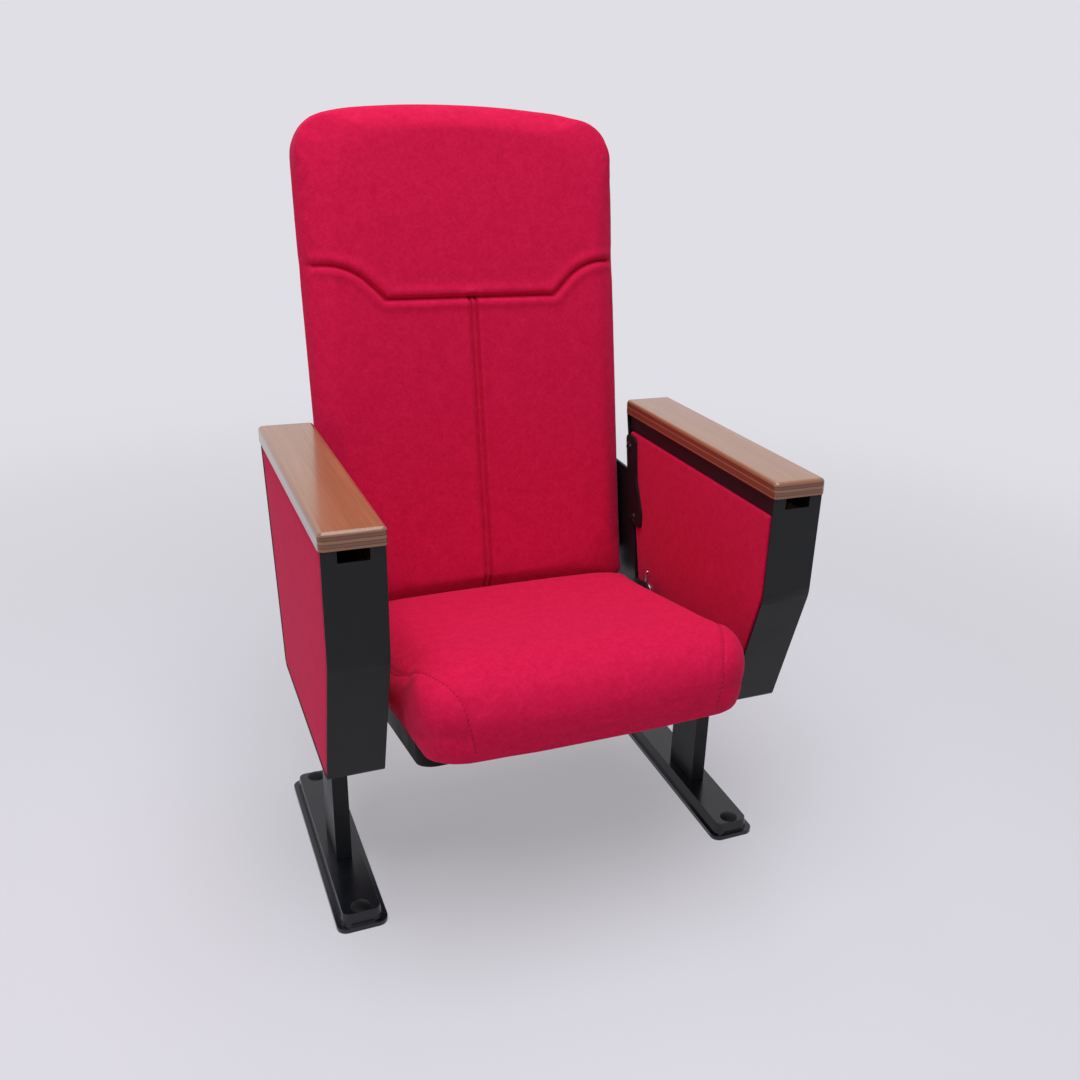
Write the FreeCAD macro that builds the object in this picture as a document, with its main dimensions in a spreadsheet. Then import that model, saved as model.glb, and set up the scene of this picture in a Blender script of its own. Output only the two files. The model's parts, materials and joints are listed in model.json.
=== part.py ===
"""Auditorium chair: two floor-standing arm boxes, a fixed upholstered back and a tip-up seat.

Millimetres, +Z up, the chair faces -Y. The origin is on the floor, midway between the four anchor holes.
"""
import FreeCAD, Part
import math
import os
import re

import Sketcher
from FreeCAD import Placement, Rotation, Vector

SIZES = (
    # Feet with their floor anchors
    ("foot_length", 372.0),
    ("foot_width", 70.0),
    ("foot_flange", 7.0),
    ("foot_height", 24.0),
    ("foot_step", 5.0),
    ("foot_corner", 14.0),
    ("foot_draft", 10.0),
    ("anchor_end", 22.0),
    ("anchor_hole", 11.0),
    ("anchor_bore", 21.0),
    ("anchor_floor", 9.0),
    ("dome_width", 27.0),
    ("dome_height", 3.5),
    ("dome_plug", 4.0),
    # Posts
    ("post_width", 22.0),
    ("post_depth", 78.0),
    ("post_wall", 3.0),
    ("post_middle", -18.0),
    ("post_socket", 12.0),
    # Arm boxes, seen from the side
    ("arm_width", 74.0),
    ("arm_front", 247.0),
    ("arm_back", 217.0),
    ("arm_floor", 254.0),
    ("arm_height", 341.0),
    ("arm_fall", 18.0),
    ("bend_lift", 194.0),
    ("toe_setback", 59.0),
    ("heel_setback", 84.0),
    ("arm_sheet", 2.0),
    ("bend_round", 60.0),
    ("toe_round", 8.0),
    ("heel_round", 14.0),
    ("notch_width", 37.0),
    ("notch_height", 17.0),
    # Upholstered arm panels
    ("cover_thick", 4.0),
    ("board_thick", 9.0),
    ("board_inset", 2.0),
    ("panel_front_gap", 6.0),
    ("panel_rear_gap", 10.0),
    ("panel_floor_gap", 5.0),
    ("inner_top_gap", 27.0),
    ("outer_top_gap", 1.5),
    # Top rail and armrest cap
    ("rail_inset", 3.0),
    ("rail_gap", 2.0),
    ("rail_height", 25.0),
    ("rail_wall", 3.0),
    ("cap_side_lip", 2.0),
    ("cap_thick", 22.0),
    ("cap_front_lip", 4.0),
    ("cap_rear_lip", 2.0),
    ("cap_edge", 6.0),
    ("cap_corner", 7.0),
    ("cap_screw", 5.0),
    ("cap_screw_bite", 14.0),
    ("cap_screw_end", 52.0),
    # Inner side plate with its standoffs
    ("side_thick", 5.0),
    ("side_lift", 20.0),
    ("side_skirt", 146.0),
    ("side_drop", 29.0),
    ("side_strip", 42.0),
    ("side_gap", 4.0),
    ("standoff", 16.0),
    ("standoff_lift", 86.0),
    ("standoff_rise", 160.0),
    ("standoff_pitch", 50.0),
    # Brackets that carry the back
    ("bracket_thick", 4.0),
    ("bracket_rim", 19.0),
    ("bracket_toe", 12.0),
    ("waist_drop", 49.0),
    ("bracket_lobe", 38.0),
    ("bracket_neck", 31.0),
    ("bracket_round", 9.0),
    ("wing_drop", 39.0),
    ("wing_lap", 8.0),
    ("wing_height", 216.0),
    ("flange_reach", 52.0),
    ("flange_floor", 40.0),
    ("flange_top", 200.0),
    ("bolt_drop", 50.0),
    ("bolt_pitch", 113.0),
    ("bolt_setback", 12.0),
    ("bolt_size", 8.0),
    ("bolt_head", 17.0),
    ("bolt_dome", 4.5),
    ("nut_size", 13.0),
    ("nut_height", 6.5),
    # Seat hinge
    ("pivot_setback", 45.0),
    ("pivot_lift", 59.0),
    ("pivot_pin", 12.0),
    ("pivot_boss", 20.0),
    ("pivot_nut", 18.0),
    ("pivot_nut_height", 9.0),
    ("bush_wall", 3.0),
    ("bush_flange", 1.5),
    ("bush_rim", 4.0),
    ("stop_pin", 8.0),
    ("stop_collar", 14.0),
    ("stop_reach", 36.0),
    ("stop_angle", 234.0),
    ("seat_travel", 72.0),
    ("hinge_thick", 4.0),
    ("hinge_front", 58.0),
    ("hinge_rear", 46.0),
    ("hinge_top", 19.0),
    ("hinge_crown", 24.0),
    ("hinge_round", 12.0),
    ("hinge_shoulder", 20.0),
    ("hinge_flange", 50.0),
    ("peg_size", 6.0),
    ("peg_length", 8.0),
    # Return spring
    ("spring_wire", 2.2),
    ("spring_play", 0.9),
    ("spring_pitch", 2.65),
    ("spring_leg", 28.0),
    ("spring_hook", 3.0),
    ("spring_tail", 4.0),
    # Seat
    ("seat_rake", 11.6),
    ("seat_half", 232.0),
    ("seat_gap", 21.0),
    ("seat_nose", 401.0),
    ("seat_tail", 60.0),
    ("seat_top", 37.0),
    ("seat_base", 73.0),
    ("seat_nose_round", 54.0),
    ("seat_tail_round", 26.0),
    ("seat_bow", 7.0),
    ("seat_side_ease", 74.0),
    ("seat_nose_ease", 120.0),
    ("seat_board", 12.0),
    ("seat_board_inset", 21.0),
    ("seat_board_setback", 31.0),
    ("pan_inset", 18.0),
    ("pan_setback", 112.0),
    ("pan_tail_gap", 8.0),
    ("pan_depth", 36.0),
    ("pan_wall", 2.5),
    ("pan_round", 24.0),
    ("pan_boss", 14.0),
    ("pan_boss_edge", 56.0),
    # Back
    ("back_setback", 28.0),
    ("back_drop", 13.0),
    ("back_lean", 10.6),
    ("back_gap", 3.0),
    ("back_height", 751.0),
    ("back_thick", 64.0),
    ("back_top_round", 66.0),
    ("back_foot_round", 22.0),
    ("back_bow", 12.0),
    ("back_ease", 72.0),
    ("back_board", 11.0),
    ("back_board_inset", 24.0),
    ("shell_inset", 18.0),
    ("shell_lap", 10.0),
    ("shell_depth", 38.0),
    ("shell_wall", 3.5),
    ("shell_round", 18.0),
    ("shell_boss", 16.0),
    ("shell_boss_edge", 66.0),
    ("shell_boss_foot", 120.0),
    ("shell_boss_head", 111.0),
    # Sewn seams
    ("seam_width", 4.4),
    ("seam_depth", 4.5),
    ("head_seam_middle", 474.0),
    ("head_seam_side", 524.0),
    ("head_seam_flat", 131.0),
    ("head_seam_slope", 26.0),
    ("head_seam_bend", 64.0),
    ("centre_seam_pitch", 9.0),
    ("centre_seam_width", 2.6),
    ("gusset_seam_edge", 20.0),
    ("gusset_seam_inset", 66.0),
    ("gusset_seam_turn", 145.0),
    # Screws and clearances
    ("screw_size", 4.5),
    ("screw_head", 9.0),
    ("screw_head_height", 3.0),
    ("screw_bite", 8.0),
    ("hole_gap", 0.3),
    ("fit_gap", 0.05),
    ("side_play", 1.0),
    ("slot_gap", 0.3),
    ("weld_gap", 0.2),
)

# Sizes that follow from the driving ones
DERIVED = {
    # The arms stand clear of the seat, and the back fits between the brackets on the arms
    "arm_spacing": "2 * (seat_half + seat_gap) + arm_width",
    "back_half": "seat_half + seat_gap - bracket_thick - back_gap",
    "anchor_pitch": "foot_length - 2 * anchor_end",
    # The arm's side outline
    "arm_top_front": "arm_floor + arm_height",
    "arm_top_rear": "arm_top_front - arm_fall",
    "arm_bend": "arm_floor + bend_lift",
    "arm_toe": "arm_front - toe_setback",
    "arm_heel": "arm_back - heel_setback",
    "rail_width": "arm_width - rail_inset - cover_thick - board_thick - rail_gap",
    "cap_width": "arm_width + 2 * cap_side_lip",
    # What the arm carries
    "side_floor": "arm_floor + side_lift",
    "side_step": "side_floor + side_skirt",
    "side_top": "arm_top_rear - side_drop",
    "standoff_low": "arm_floor + standoff_lift",
    "standoff_high": "standoff_low + standoff_rise",
    "bolt_upper": "arm_top_rear - bolt_drop",
    "bolt_lower": "bolt_upper - bolt_pitch",
    "bracket_top": "bolt_upper + bracket_rim",
    "bracket_waist": "bolt_upper - waist_drop",
    "bracket_low": "bolt_lower - bracket_toe",
    "wing_top": "bolt_upper - wing_drop",
    "wing_floor": "wing_top - wing_height",
    "pivot_y": "arm_heel - pivot_setback",
    "pivot_z": "arm_floor + pivot_lift",
    "spring_mean": "pivot_boss + spring_wire + 2 * spring_play",
    # Seat and back
    "pan_half": "seat_half - pan_inset",
    "pan_nose": "seat_nose - pan_setback",
    "pan_tail": "seat_tail - pan_tail_gap",
    "gusset_seam_front": "seat_half - gusset_seam_inset",
    "back_y": "arm_heel + back_setback",
    "back_z": "pivot_z - back_drop",
    "shell_boss_half": "back_half - shell_boss_edge",
    "shell_boss_high": "back_height - shell_boss_head",
}

# Cushion profiles from base to crown, as shares of the rise and of the draw-in at the crown
SEAT_PROFILE = (
    (0.0, 0.23, 0.15), (0.05, 0.18, 0.125), (0.12, 0.125, 0.095), (0.24, 0.06, 0.05), (0.42, 0.008, 0.012),
    (0.55, 0.0, 0.004), (0.66, 0.004, 0.025), (0.75, 0.017, 0.067), (0.83, 0.04, 0.125), (0.89, 0.076, 0.19),
    (0.935, 0.122, 0.267), (0.965, 0.21, 0.367), (0.986, 0.42, 0.55), (1.0, 1.0, 1.0))
BACK_PROFILE = (
    (0.0, 0.14), (0.10, 0.09), (0.25, 0.05), (0.45, 0.017), (0.62, 0.0), (0.74, 0.003), (0.83, 0.025),
    (0.90, 0.072), (0.945, 0.146), (0.973, 0.264), (0.989, 0.5), (1.0, 1.0))
# Shares of the rise at which the seams start, and of the head seam's rise at its knee
SEAT_SEAM_FLOOR = 0.1
BACK_SEAM_FLOOR = 0.4
HEAD_SEAM_KNEE = 0.52

doc = FreeCAD.newDocument("AuditoriumChair")
sheet = doc.addObject("Spreadsheet::Sheet", "Sizes")
for row, (alias, value) in enumerate(SIZES, start=1):
    sheet.set(f"A{row}", alias)
    sheet.set(f"B{row}", str(value))
    sheet.setAlias(f"B{row}", alias)
doc.recompute()

ALIAS = re.compile(r"\b(" + "|".join(alias for alias, _ in SIZES) + r")\b")
FOLLOWS = re.compile(r"\b(" + "|".join(DERIVED) + r")\b")
WORLD = Placement()
AXIS_X = Vector(1, 0, 0)
AXIS_Y = Vector(0, 1, 0)
AXIS_Z = Vector(0, 0, 1)
SIDES = (("left", -1), ("right", 1))
nodes = {}


def cells(text):
    """Point every size named in an expression at its sheet cell, with derived sizes spelled out."""
    while FOLLOWS.search(text):
        text = FOLLOWS.sub(lambda found: f"({DERIVED[found[1]]})", text)
    return ALIAS.sub(r"Sizes.\1", text)


def num(text):
    """Value of an expression of sizes."""
    return float(sheet.evalExpression(cells(text)))


def bind(item, **fields):
    """Tie properties of a feature to expressions of sizes."""
    for field, text in fields.items():
        item.setExpression(field, cells(text))
    return item


def spot(x, y, z, turn=None):
    """Placement from three expressions and an optional rotation."""
    return Placement(Vector(num(x), num(y), num(z)), turn or Rotation())


def node(item, label):
    """Give a finished piece its own name."""
    item.Label = label
    nodes[label] = item
    return item


def box(name, length, width, height, place):
    """Plain block whose three sizes are expressions."""
    item = doc.addObject("Part::Box", name)
    item.Placement = place
    return bind(item, Length=length, Width=width, Height=height)


def rod(name, width, height, place):
    """Round bar of a given diameter along its own Z."""
    item = doc.addObject("Part::Cylinder", name)
    item.Placement = place
    return bind(item, Radius=f"({width}) / 2", Height=height)


def dome(name, width, height, place):
    """Shallow spherical cap standing on its own XY plane."""
    radius = f"(({width})^2 / 4 + ({height})^2) / (2 * ({height}))"
    item = doc.addObject("Part::Sphere", name)
    bind(item, Radius=radius, Angle1=f"asin(1 - ({height}) / ({radius}))")
    item.Placement = place.multiply(Placement(Vector(0, 0, num(f"({height}) - {radius}")), Rotation()))
    return item


def hexagon(name, across, height, bore, place):
    """Hexagon nut with a plain bore."""
    body = doc.addObject("Part::Prism", name + "_body")
    body.Polygon = 6
    bind(body, Circumradius=f"({across}) / sqrt(3)", Height=height)
    return cut(name, body, [rod(name + "_bore", bore, height, WORLD)], place)


def fuse(name, items, place=WORLD):
    """One solid from several touching ones."""
    item = doc.addObject("Part::MultiFuse", name)
    item.Shapes = items
    item.Refine = True
    item.Placement = place
    return item


def cut(name, base, tools, place=WORLD):
    """A solid less one or more tools."""
    item = doc.addObject("Part::Cut", name)
    item.Base = base
    item.Tool = tools[0] if len(tools) == 1 else fuse(name + "_tools", tools)
    item.Placement = place
    return item


def group(name, items):
    """Separate like solids kept under one name."""
    item = doc.addObject("Part::Compound", name)
    item.Links = items
    return item


def screw(name, shank, length, head, head_height, place):
    """Pan-head screw: the head hangs below its seat plane, the shank runs up."""
    down = Placement(Vector(0, 0, -num(head_height)), Rotation())
    parts = [rod(name + "_shank", shank, length, WORLD), rod(name + "_head", head, head_height, down)]
    return fuse(name, parts, place)


def upright_edges(shape, corners, along):
    """Names of the edges that run along a direction through the given corner points."""
    found = []
    for count, edge in enumerate(shape.Edges, start=1):
        line = edge.Curve
        if not isinstance(line, Part.Line):
            continue
        for corner in corners:
            offset = corner - edge.Vertexes[0].Point
            leans = abs(line.Direction.dot(along)) > 0.9
            if leans and offset.cross(line.Direction).Length < 1e-6:
                found.append(f"Edge{count}")
    return found


def plate(name, plane, points, depth, rounds=()):
    """Padded outline of straight edges with rounded upright corners.

    points are pairs of expressions in the plane; rounds are (corner indices, radius expression).
    """
    body = doc.addObject("PartDesign::Body", name)
    sketch = body.newObject("Sketcher::SketchObject", name + "_outline")
    origin = next(item for item in body.Origin.OriginFeatures if item.Role == plane)
    sketch.AttachmentSupport = [(origin, "")]
    sketch.MapMode = "FlatFace"
    corners = [Vector(num(u), num(v), 0) for u, v in points]
    total = len(corners)
    for count, corner in enumerate(corners):
        sketch.addGeometry(Part.LineSegment(corner, corners[(count + 1) % total]), False)
    for count in range(total):
        sketch.addConstraint(Sketcher.Constraint("Coincident", count, 2, (count + 1) % total, 1))
    for count, pair in enumerate(points):
        for kind, text in zip(("DistanceX", "DistanceY"), pair):
            link = sketch.addConstraint(Sketcher.Constraint(kind, -1, 1, count, 1, num(text)))
            sketch.setExpression(f"Constraints[{link}]", cells(text))
    last = body.newObject("PartDesign::Pad", name + "_pad")
    last.Profile = sketch
    bind(last, Length=depth)
    doc.recompute()
    along = sketch.Placement.Rotation.multVec(AXIS_Z)
    for count, (chosen, radius) in enumerate(rounds):
        marks = [sketch.Placement.multVec(corners[index]) for index in chosen]
        fillet = body.newObject("PartDesign::Fillet", f"{name}_round{count}")
        fillet.Base = (last, upright_edges(last.Shape, marks, along))
        bind(fillet, Radius=radius)
        last = fillet
        doc.recompute()
    return body


def hollow(body, value, opened):
    """Turn a padded body into a sheet of even thickness, open at the faces that a test picks."""
    base = body.Tip
    names = [f"Face{count}" for count, face in enumerate(base.Shape.Faces, start=1) if opened(face)]
    shell = body.newObject("PartDesign::Thickness", body.Name + "_wall")
    shell.Base = (base, names)
    shell.Reversed = True
    bind(shell, Value=value)
    doc.recompute()
    return body


def eased(body, way, radius):
    """Round the rim of the face that lies furthest along a direction."""
    base = body.Tip
    far = max(vertex.Point.dot(way) for vertex in base.Shape.Vertexes)
    names = []
    for count, edge in enumerate(base.Shape.Edges, start=1):
        if min(vertex.Point.dot(way) for vertex in edge.Vertexes) > far - 1e-6:
            names.append(f"Edge{count}")
    fillet = body.newObject("PartDesign::Fillet", body.Name + "_ease")
    fillet.Base = (base, names)
    bind(fillet, Radius=radius)
    doc.recompute()
    return body


def drafted(body, angle):
    """Lean the upright faces of a padded body inwards from its floor."""
    base = body.Tip
    lean = [face.normalAt(0, 0).z for face in base.Shape.Faces]
    draft = body.newObject("PartDesign::Draft", body.Name + "_draft")
    draft.Base = (base, [f"Face{count}" for count, z in enumerate(lean, start=1) if abs(z) < 0.5])
    draft.NeutralPlane = (base, [f"Face{count}" for count, z in enumerate(lean, start=1) if z < -0.5])
    bind(draft, Angle=angle)
    doc.recompute()
    return body


def rectangle(half, low, high):
    """Corner expressions of a block that is centred across and runs from low to high."""
    return [(f"-({half})", low), (half, low), (half, high), (f"-({half})", high)]


def top_at(y):
    """Height of the arm's sloping top edge at y."""
    slope = "(arm_top_front - arm_top_rear) / (arm_front + arm_back)"
    return f"(arm_top_front - ({y} + arm_front) * {slope})"


def rear_at(z):
    """Depth of the arm's leaning rear edge at a height."""
    return f"(arm_heel + ({z} - arm_floor) * (arm_back - arm_heel) / (arm_top_rear - arm_floor))"


def toe_at(z):
    """Depth of the arm's lower front slope at a height."""
    return f"(-arm_toe + ({z} - arm_floor) * (arm_toe - arm_front) / (arm_bend - arm_floor))"


INNER_FACE = "(arm_spacing / 2 - arm_width / 2)"
OUTER_FACE = "(arm_spacing / 2 + arm_width / 2)"
INNER_BOARD = f"({INNER_FACE} + cover_thick)"
INNER_BACK = f"({INNER_BOARD} + board_thick)"
OUTER_BACK = f"({OUTER_FACE} - cover_thick - board_thick)"
POST_INNER = "(arm_spacing / 2 - post_width / 2)"
POST_OUTER = "(arm_spacing / 2 + post_width / 2)"
SIDE_INNER = f"({POST_INNER} - side_thick)"
HINGE_INNER = "(seat_half + side_play)"
HINGE_OUTER = f"({HINGE_INNER} + hinge_thick)"
BUSH_OUTER = f"({HINGE_OUTER} + bush_flange)"
CAP_LENGTH = "sqrt((arm_front + arm_back)^2 + (arm_top_front - arm_top_rear)^2)"
CAP_TILT = -math.degrees(math.atan2(num("arm_top_front - arm_top_rear"), num("arm_front + arm_back")))
CAP_FRAME = spot("0", "-arm_front", "arm_top_front", Rotation(AXIS_X, CAP_TILT))
SEAT_FRAME = spot("0", "pivot_y", "pivot_z", Rotation(AXIS_X, -num("seat_rake")))
BACK_FRAME = spot("0", "back_y", "back_z", Rotation(AXIS_X, -num("back_lean")))
BOLT_HEIGHTS = ("bolt_upper", "bolt_lower")


def sided(sign, near, far):
    """Lower X of a slab that lies between two distances from the chair's middle plane."""
    return near if sign > 0 else f"-({far})"


def across(sign, x, y, z):
    """Placement on one side of the chair whose own Z points away from the middle plane."""
    return spot(f"{sign} * ({x})", y, z, Rotation(AXIS_Y, 90 * sign))


def foot(side, sign):
    """Floor foot: flange, drafted body, post socket and two counterbored anchor holes."""
    centre = f"{sign} * arm_spacing / 2"
    place = spot(centre, "0", "0")
    every = (0, 1, 2, 3)
    corner = [(every, "foot_corner")]
    footprint = rectangle("foot_width / 2", "-foot_length / 2", "foot_length / 2")
    flange = plate(f"foot_flange_{side}", "XY_Plane", footprint, "foot_flange", corner)
    reach = "(foot_length / 2 - foot_step)"
    outline = rectangle("(foot_width / 2 - foot_step)", f"-{reach}", reach)
    block = drafted(plate(f"foot_block_{side}", "XY_Plane", outline, "foot_height", corner), "foot_draft")
    raw = fuse(f"foot_raw_{side}", [flange, block])
    corner_spot = spot("-post_width / 2 - weld_gap", "post_middle - post_depth / 2 - weld_gap",
                       "foot_height - post_socket")
    tools = [box(f"foot_socket_{side}", "post_width + 2 * weld_gap", "post_depth + 2 * weld_gap",
                 "foot_height", corner_spot)]
    for end, row in (("front", -1), ("rear", 1)):
        y = f"{row} * anchor_pitch / 2"
        tools.append(rod(f"anchor_hole_{end}_{side}", "anchor_hole", "foot_height", spot("0", y, "0")))
        tools.append(rod(f"anchor_bore_{end}_{side}", "anchor_bore", "foot_height",
                         spot("0", y, "anchor_floor")))
    node(cut(f"foot_cut_{side}", raw, tools, place), f"foot_{side}")


def foot_caps(side, sign):
    """Domed caps that plug the counterbores over the anchor bolts."""
    caps = []
    for end, row in (("front", -1), ("rear", 1)):
        place = spot(f"{sign} * arm_spacing / 2", f"{row} * anchor_pitch / 2", "foot_height")
        name = f"cap_{end}_{side}"
        plug = rod(name + "_plug", "anchor_bore - 2 * fit_gap", "dome_plug", spot("0", "0", "-dome_plug"))
        caps.append(fuse(name, [dome(name + "_dome", "dome_width", "dome_height", WORLD), plug], place))
    node(group(f"foot_caps_group_{side}", caps), f"foot_bolt_caps_{side}")


def post(side, sign):
    """Flat rectangular tube from the foot socket up to the rail under the armrest."""
    rear = "(post_middle + post_depth / 2)"
    height = f"({top_at(rear)} - rail_wall - weld_gap - foot_height + post_socket)"
    place = spot(f"{sign} * arm_spacing / 2 - post_width / 2", "post_middle - post_depth / 2",
                 "foot_height - post_socket")
    outer = box(f"post_outer_{side}", "post_width", "post_depth", height, WORLD)
    inner = box(f"post_inner_{side}", "post_width - 2 * post_wall", "post_depth - 2 * post_wall", height,
                spot("post_wall", "post_wall", "0"))
    node(cut(f"post_cut_{side}", outer, [inner], place), f"post_{side}")


def arm_shell(side, sign):
    """Bent steel band round the arm: front plate, lower front slope, floor and leaning rear plate."""
    points = [("-arm_front", top_at("-arm_front")), ("-arm_front", "arm_bend"), ("-arm_toe", "arm_floor"),
              ("arm_heel", "arm_floor"), ("arm_back", top_at("arm_back"))]
    rounds = [((1,), "bend_round"), ((2,), "toe_round"), ((3,), "heel_round")]
    body = plate(f"arm_band_{side}", "YZ_Plane", points, "arm_width", rounds)

    def opened(face):
        normal = face.normalAt(0, 0)
        flat = isinstance(face.Surface, Part.Plane)
        return flat and (abs(normal.x) > 0.9 or normal.z > 0.9)

    hollow(body, "arm_sheet", opened)
    notch = box(f"arm_notch_{side}", "notch_width", "4 * arm_sheet", "2 * notch_height",
                spot("(arm_width - notch_width) / 2", "-arm_front - arm_sheet",
                     "arm_top_front - notch_height"))
    slot = box(f"arm_slot_{side}", "post_width + 2 * weld_gap", "post_depth + 2 * weld_gap",
               "4 * arm_sheet",
               spot("(arm_width - post_width) / 2 - weld_gap", "post_middle - post_depth / 2 - weld_gap",
                    "arm_floor - arm_sheet"))
    place = spot(sided(sign, INNER_FACE, OUTER_FACE), "0", "0")
    node(cut(f"arm_shell_cut_{side}", body, [notch, slot], place), f"arm_shell_{side}")


def panel_outline(top_gap, inset):
    """Side outline of an arm panel, set in from the steel band."""
    front = f"(-arm_front + panel_front_gap + {inset})"
    floor = f"(arm_floor + panel_floor_gap + {inset})"
    rear_gap = f"(panel_rear_gap + {inset})"
    top = f"({top_gap} + {inset})"
    rear_top = f"({rear_at(f'(arm_top_rear - {top})')} - {rear_gap})"
    return [(front, f"({top_at(front)} - {top})"), (front, "arm_bend"),
            (f"({toe_at(floor)} + panel_front_gap + {inset})", floor),
            (f"({rear_at(floor)} - {rear_gap})", floor), (rear_top, f"({top_at(rear_top)} - {top})")]


def arm_panels(side, sign):
    """Upholstered inner and outer panels, each a board with its padded cover."""
    holes = [("pivot_boss + 2 * hole_gap", "pivot_y", "pivot_z")]
    holes.append(("stop_collar + 2 * hole_gap", *stop_spot()))
    holes += [("bolt_size + 2 * hole_gap", bolt_y(height), height) for height in BOLT_HEIGHTS]
    holes.append(("spring_wire + 2 * hole_gap", *hook_spot()))
    inner = (("cover", INNER_FACE, INNER_BOARD, "0", "cover_thick"),
             ("board", INNER_BOARD, INNER_BACK, "board_inset", "board_thick"))
    for kind, near, far, inset, thick in inner:
        body = plate(f"inner_{kind}_{side}_pad", "YZ_Plane", panel_outline("inner_top_gap", inset), thick,
                     [((1,), "bend_round")])
        through = Rotation(AXIS_Y, 90)
        tools = [rod(f"inner_{kind}_{side}_hole{count}", width, thick, spot("0", y, z, through))
                 for count, (width, y, z) in enumerate(holes)]
        place = spot(sided(sign, near, far), "0", "0")
        node(cut(f"inner_{kind}_{side}_cut", body, tools, place), f"arm_inner_{kind}_{side}")
    outer_board = f"({OUTER_FACE} - cover_thick)"
    outer = (("cover", outer_board, OUTER_FACE, "0", "cover_thick"),
             ("board", OUTER_BACK, outer_board, "board_inset", "board_thick"))
    for kind, near, far, inset, thick in outer:
        body = plate(f"outer_{kind}_{side}_pad", "YZ_Plane", panel_outline("outer_top_gap", inset), thick,
                     [((1,), "bend_round")])
        body.Placement = spot(sided(sign, near, far), "0", "0")
        node(body, f"arm_outer_{kind}_{side}")


def cap_screw_rows():
    """Positions of the cap screws along the armrest."""
    return ("cap_screw_end", f"({CAP_LENGTH} / 2 - post_depth)", f"({CAP_LENGTH} - cap_screw_end)")


def armrest(side, sign):
    """Wooden cap, the steel channel under it and the screws that join them."""
    middle = f"{sign} * arm_spacing / 2"
    outline = rectangle("cap_width / 2", "-cap_front_lip", f"({CAP_LENGTH} + cap_rear_lip)")
    block = plate(f"cap_block_{side}", "XY_Plane", outline, "cap_thick", [((0, 1, 2, 3), "cap_corner")])
    eased(block, AXIS_Z, "cap_edge")
    pilots = [rod(f"cap_pilot{count}_{side}", "cap_screw + 2 * fit_gap", "cap_screw_bite + fit_gap",
                  spot("0", y, "0")) for count, y in enumerate(cap_screw_rows())]
    cap_place = CAP_FRAME.multiply(spot(middle, "0", "0"))
    node(cut(f"cap_cut_{side}", block, pilots, cap_place), f"armrest_cap_{side}")

    start = "(arm_sheet + rail_height * arm_fall / (arm_front + arm_back) + weld_gap)"
    slant = "(rail_height * (arm_back - arm_heel) / (arm_top_rear - arm_floor))"
    run = f"({CAP_LENGTH} - {start} - {slant} - 2 * arm_sheet)"
    outer = box(f"rail_outer_{side}", "rail_width", run, "rail_height", WORLD)
    inner = box(f"rail_inner_{side}", "rail_width - 2 * rail_wall", run, "rail_height - rail_wall",
                spot("rail_wall", "0", "0"))
    near = f"({INNER_FACE} + rail_inset)"
    low = sided(sign, near, f"({near} + rail_width)")
    holes = [rod(f"rail_hole{count}_{side}", "cap_screw + 2 * hole_gap", "rail_height",
                 spot(f"({middle} - ({low}))", f"({y} - {start})", "0"))
             for count, y in enumerate(cap_screw_rows())]
    place = CAP_FRAME.multiply(spot(low, start, "-rail_height"))
    node(cut(f"rail_cut_{side}", outer, [inner] + holes, place), f"arm_top_rail_{side}")

    screws = [screw(f"cap_screw{count}_{side}", "cap_screw", "rail_wall + cap_screw_bite", "2 * cap_screw",
                    "screw_head_height", CAP_FRAME.multiply(spot(middle, y, "-rail_wall")))
              for count, y in enumerate(cap_screw_rows())]
    node(group(f"cap_screws_group_{side}", screws), f"cap_screws_{side}")


def bolt_y(height):
    """Depth of a back-bracket bolt, set in from the arm's rear edge."""
    return f"({rear_at(height)} - bolt_setback)"


def stop_spot():
    """Height and depth of the stop pin, given in the seat's own frame by its angle."""
    angle = "(stop_angle - seat_rake)"
    return f"(pivot_y + stop_reach * cos({angle} * 1deg))", f"(pivot_z + stop_reach * sin({angle} * 1deg))"


def hook_spot():
    """Hole in the inner panel that the spring's hooked end enters."""
    return "(pivot_y + spring_mean / 2)", "(pivot_z + spring_leg)"


def side_plate(side, sign):
    """Steel plate on the post that holds the hinge, the stop and the back bracket."""
    front = "(post_middle - post_depth / 2 + side_gap)"
    rear_low = f"({rear_at('side_floor')} - side_gap)"
    rear_top = f"({rear_at('side_top')} - side_gap)"
    points = [(front, "side_floor"), (rear_low, "side_floor"), (rear_top, "side_top"),
              (f"({rear_top} - side_strip)", "side_top"),
              ("(post_middle + post_depth / 2)", "side_step"), (front, "side_step")]
    body = plate(f"side_pad_{side}", "YZ_Plane", points, "side_thick")
    holes = [("pivot_pin + 2 * fit_gap", "pivot_y", "pivot_z"), ("stop_pin + 2 * fit_gap", *stop_spot())]
    holes += [("bolt_size + 2 * hole_gap", bolt_y(height), height) for height in BOLT_HEIGHTS]
    tools = [rod(f"side_hole{count}_{side}", width, "side_thick", spot("0", y, z, Rotation(AXIS_Y, 90)))
             for count, (width, y, z) in enumerate(holes)]
    place = spot(sided(sign, SIDE_INNER, POST_INNER), "0", "0")
    node(cut(f"side_cut_{side}", body, tools, place), f"side_plate_{side}")


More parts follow.
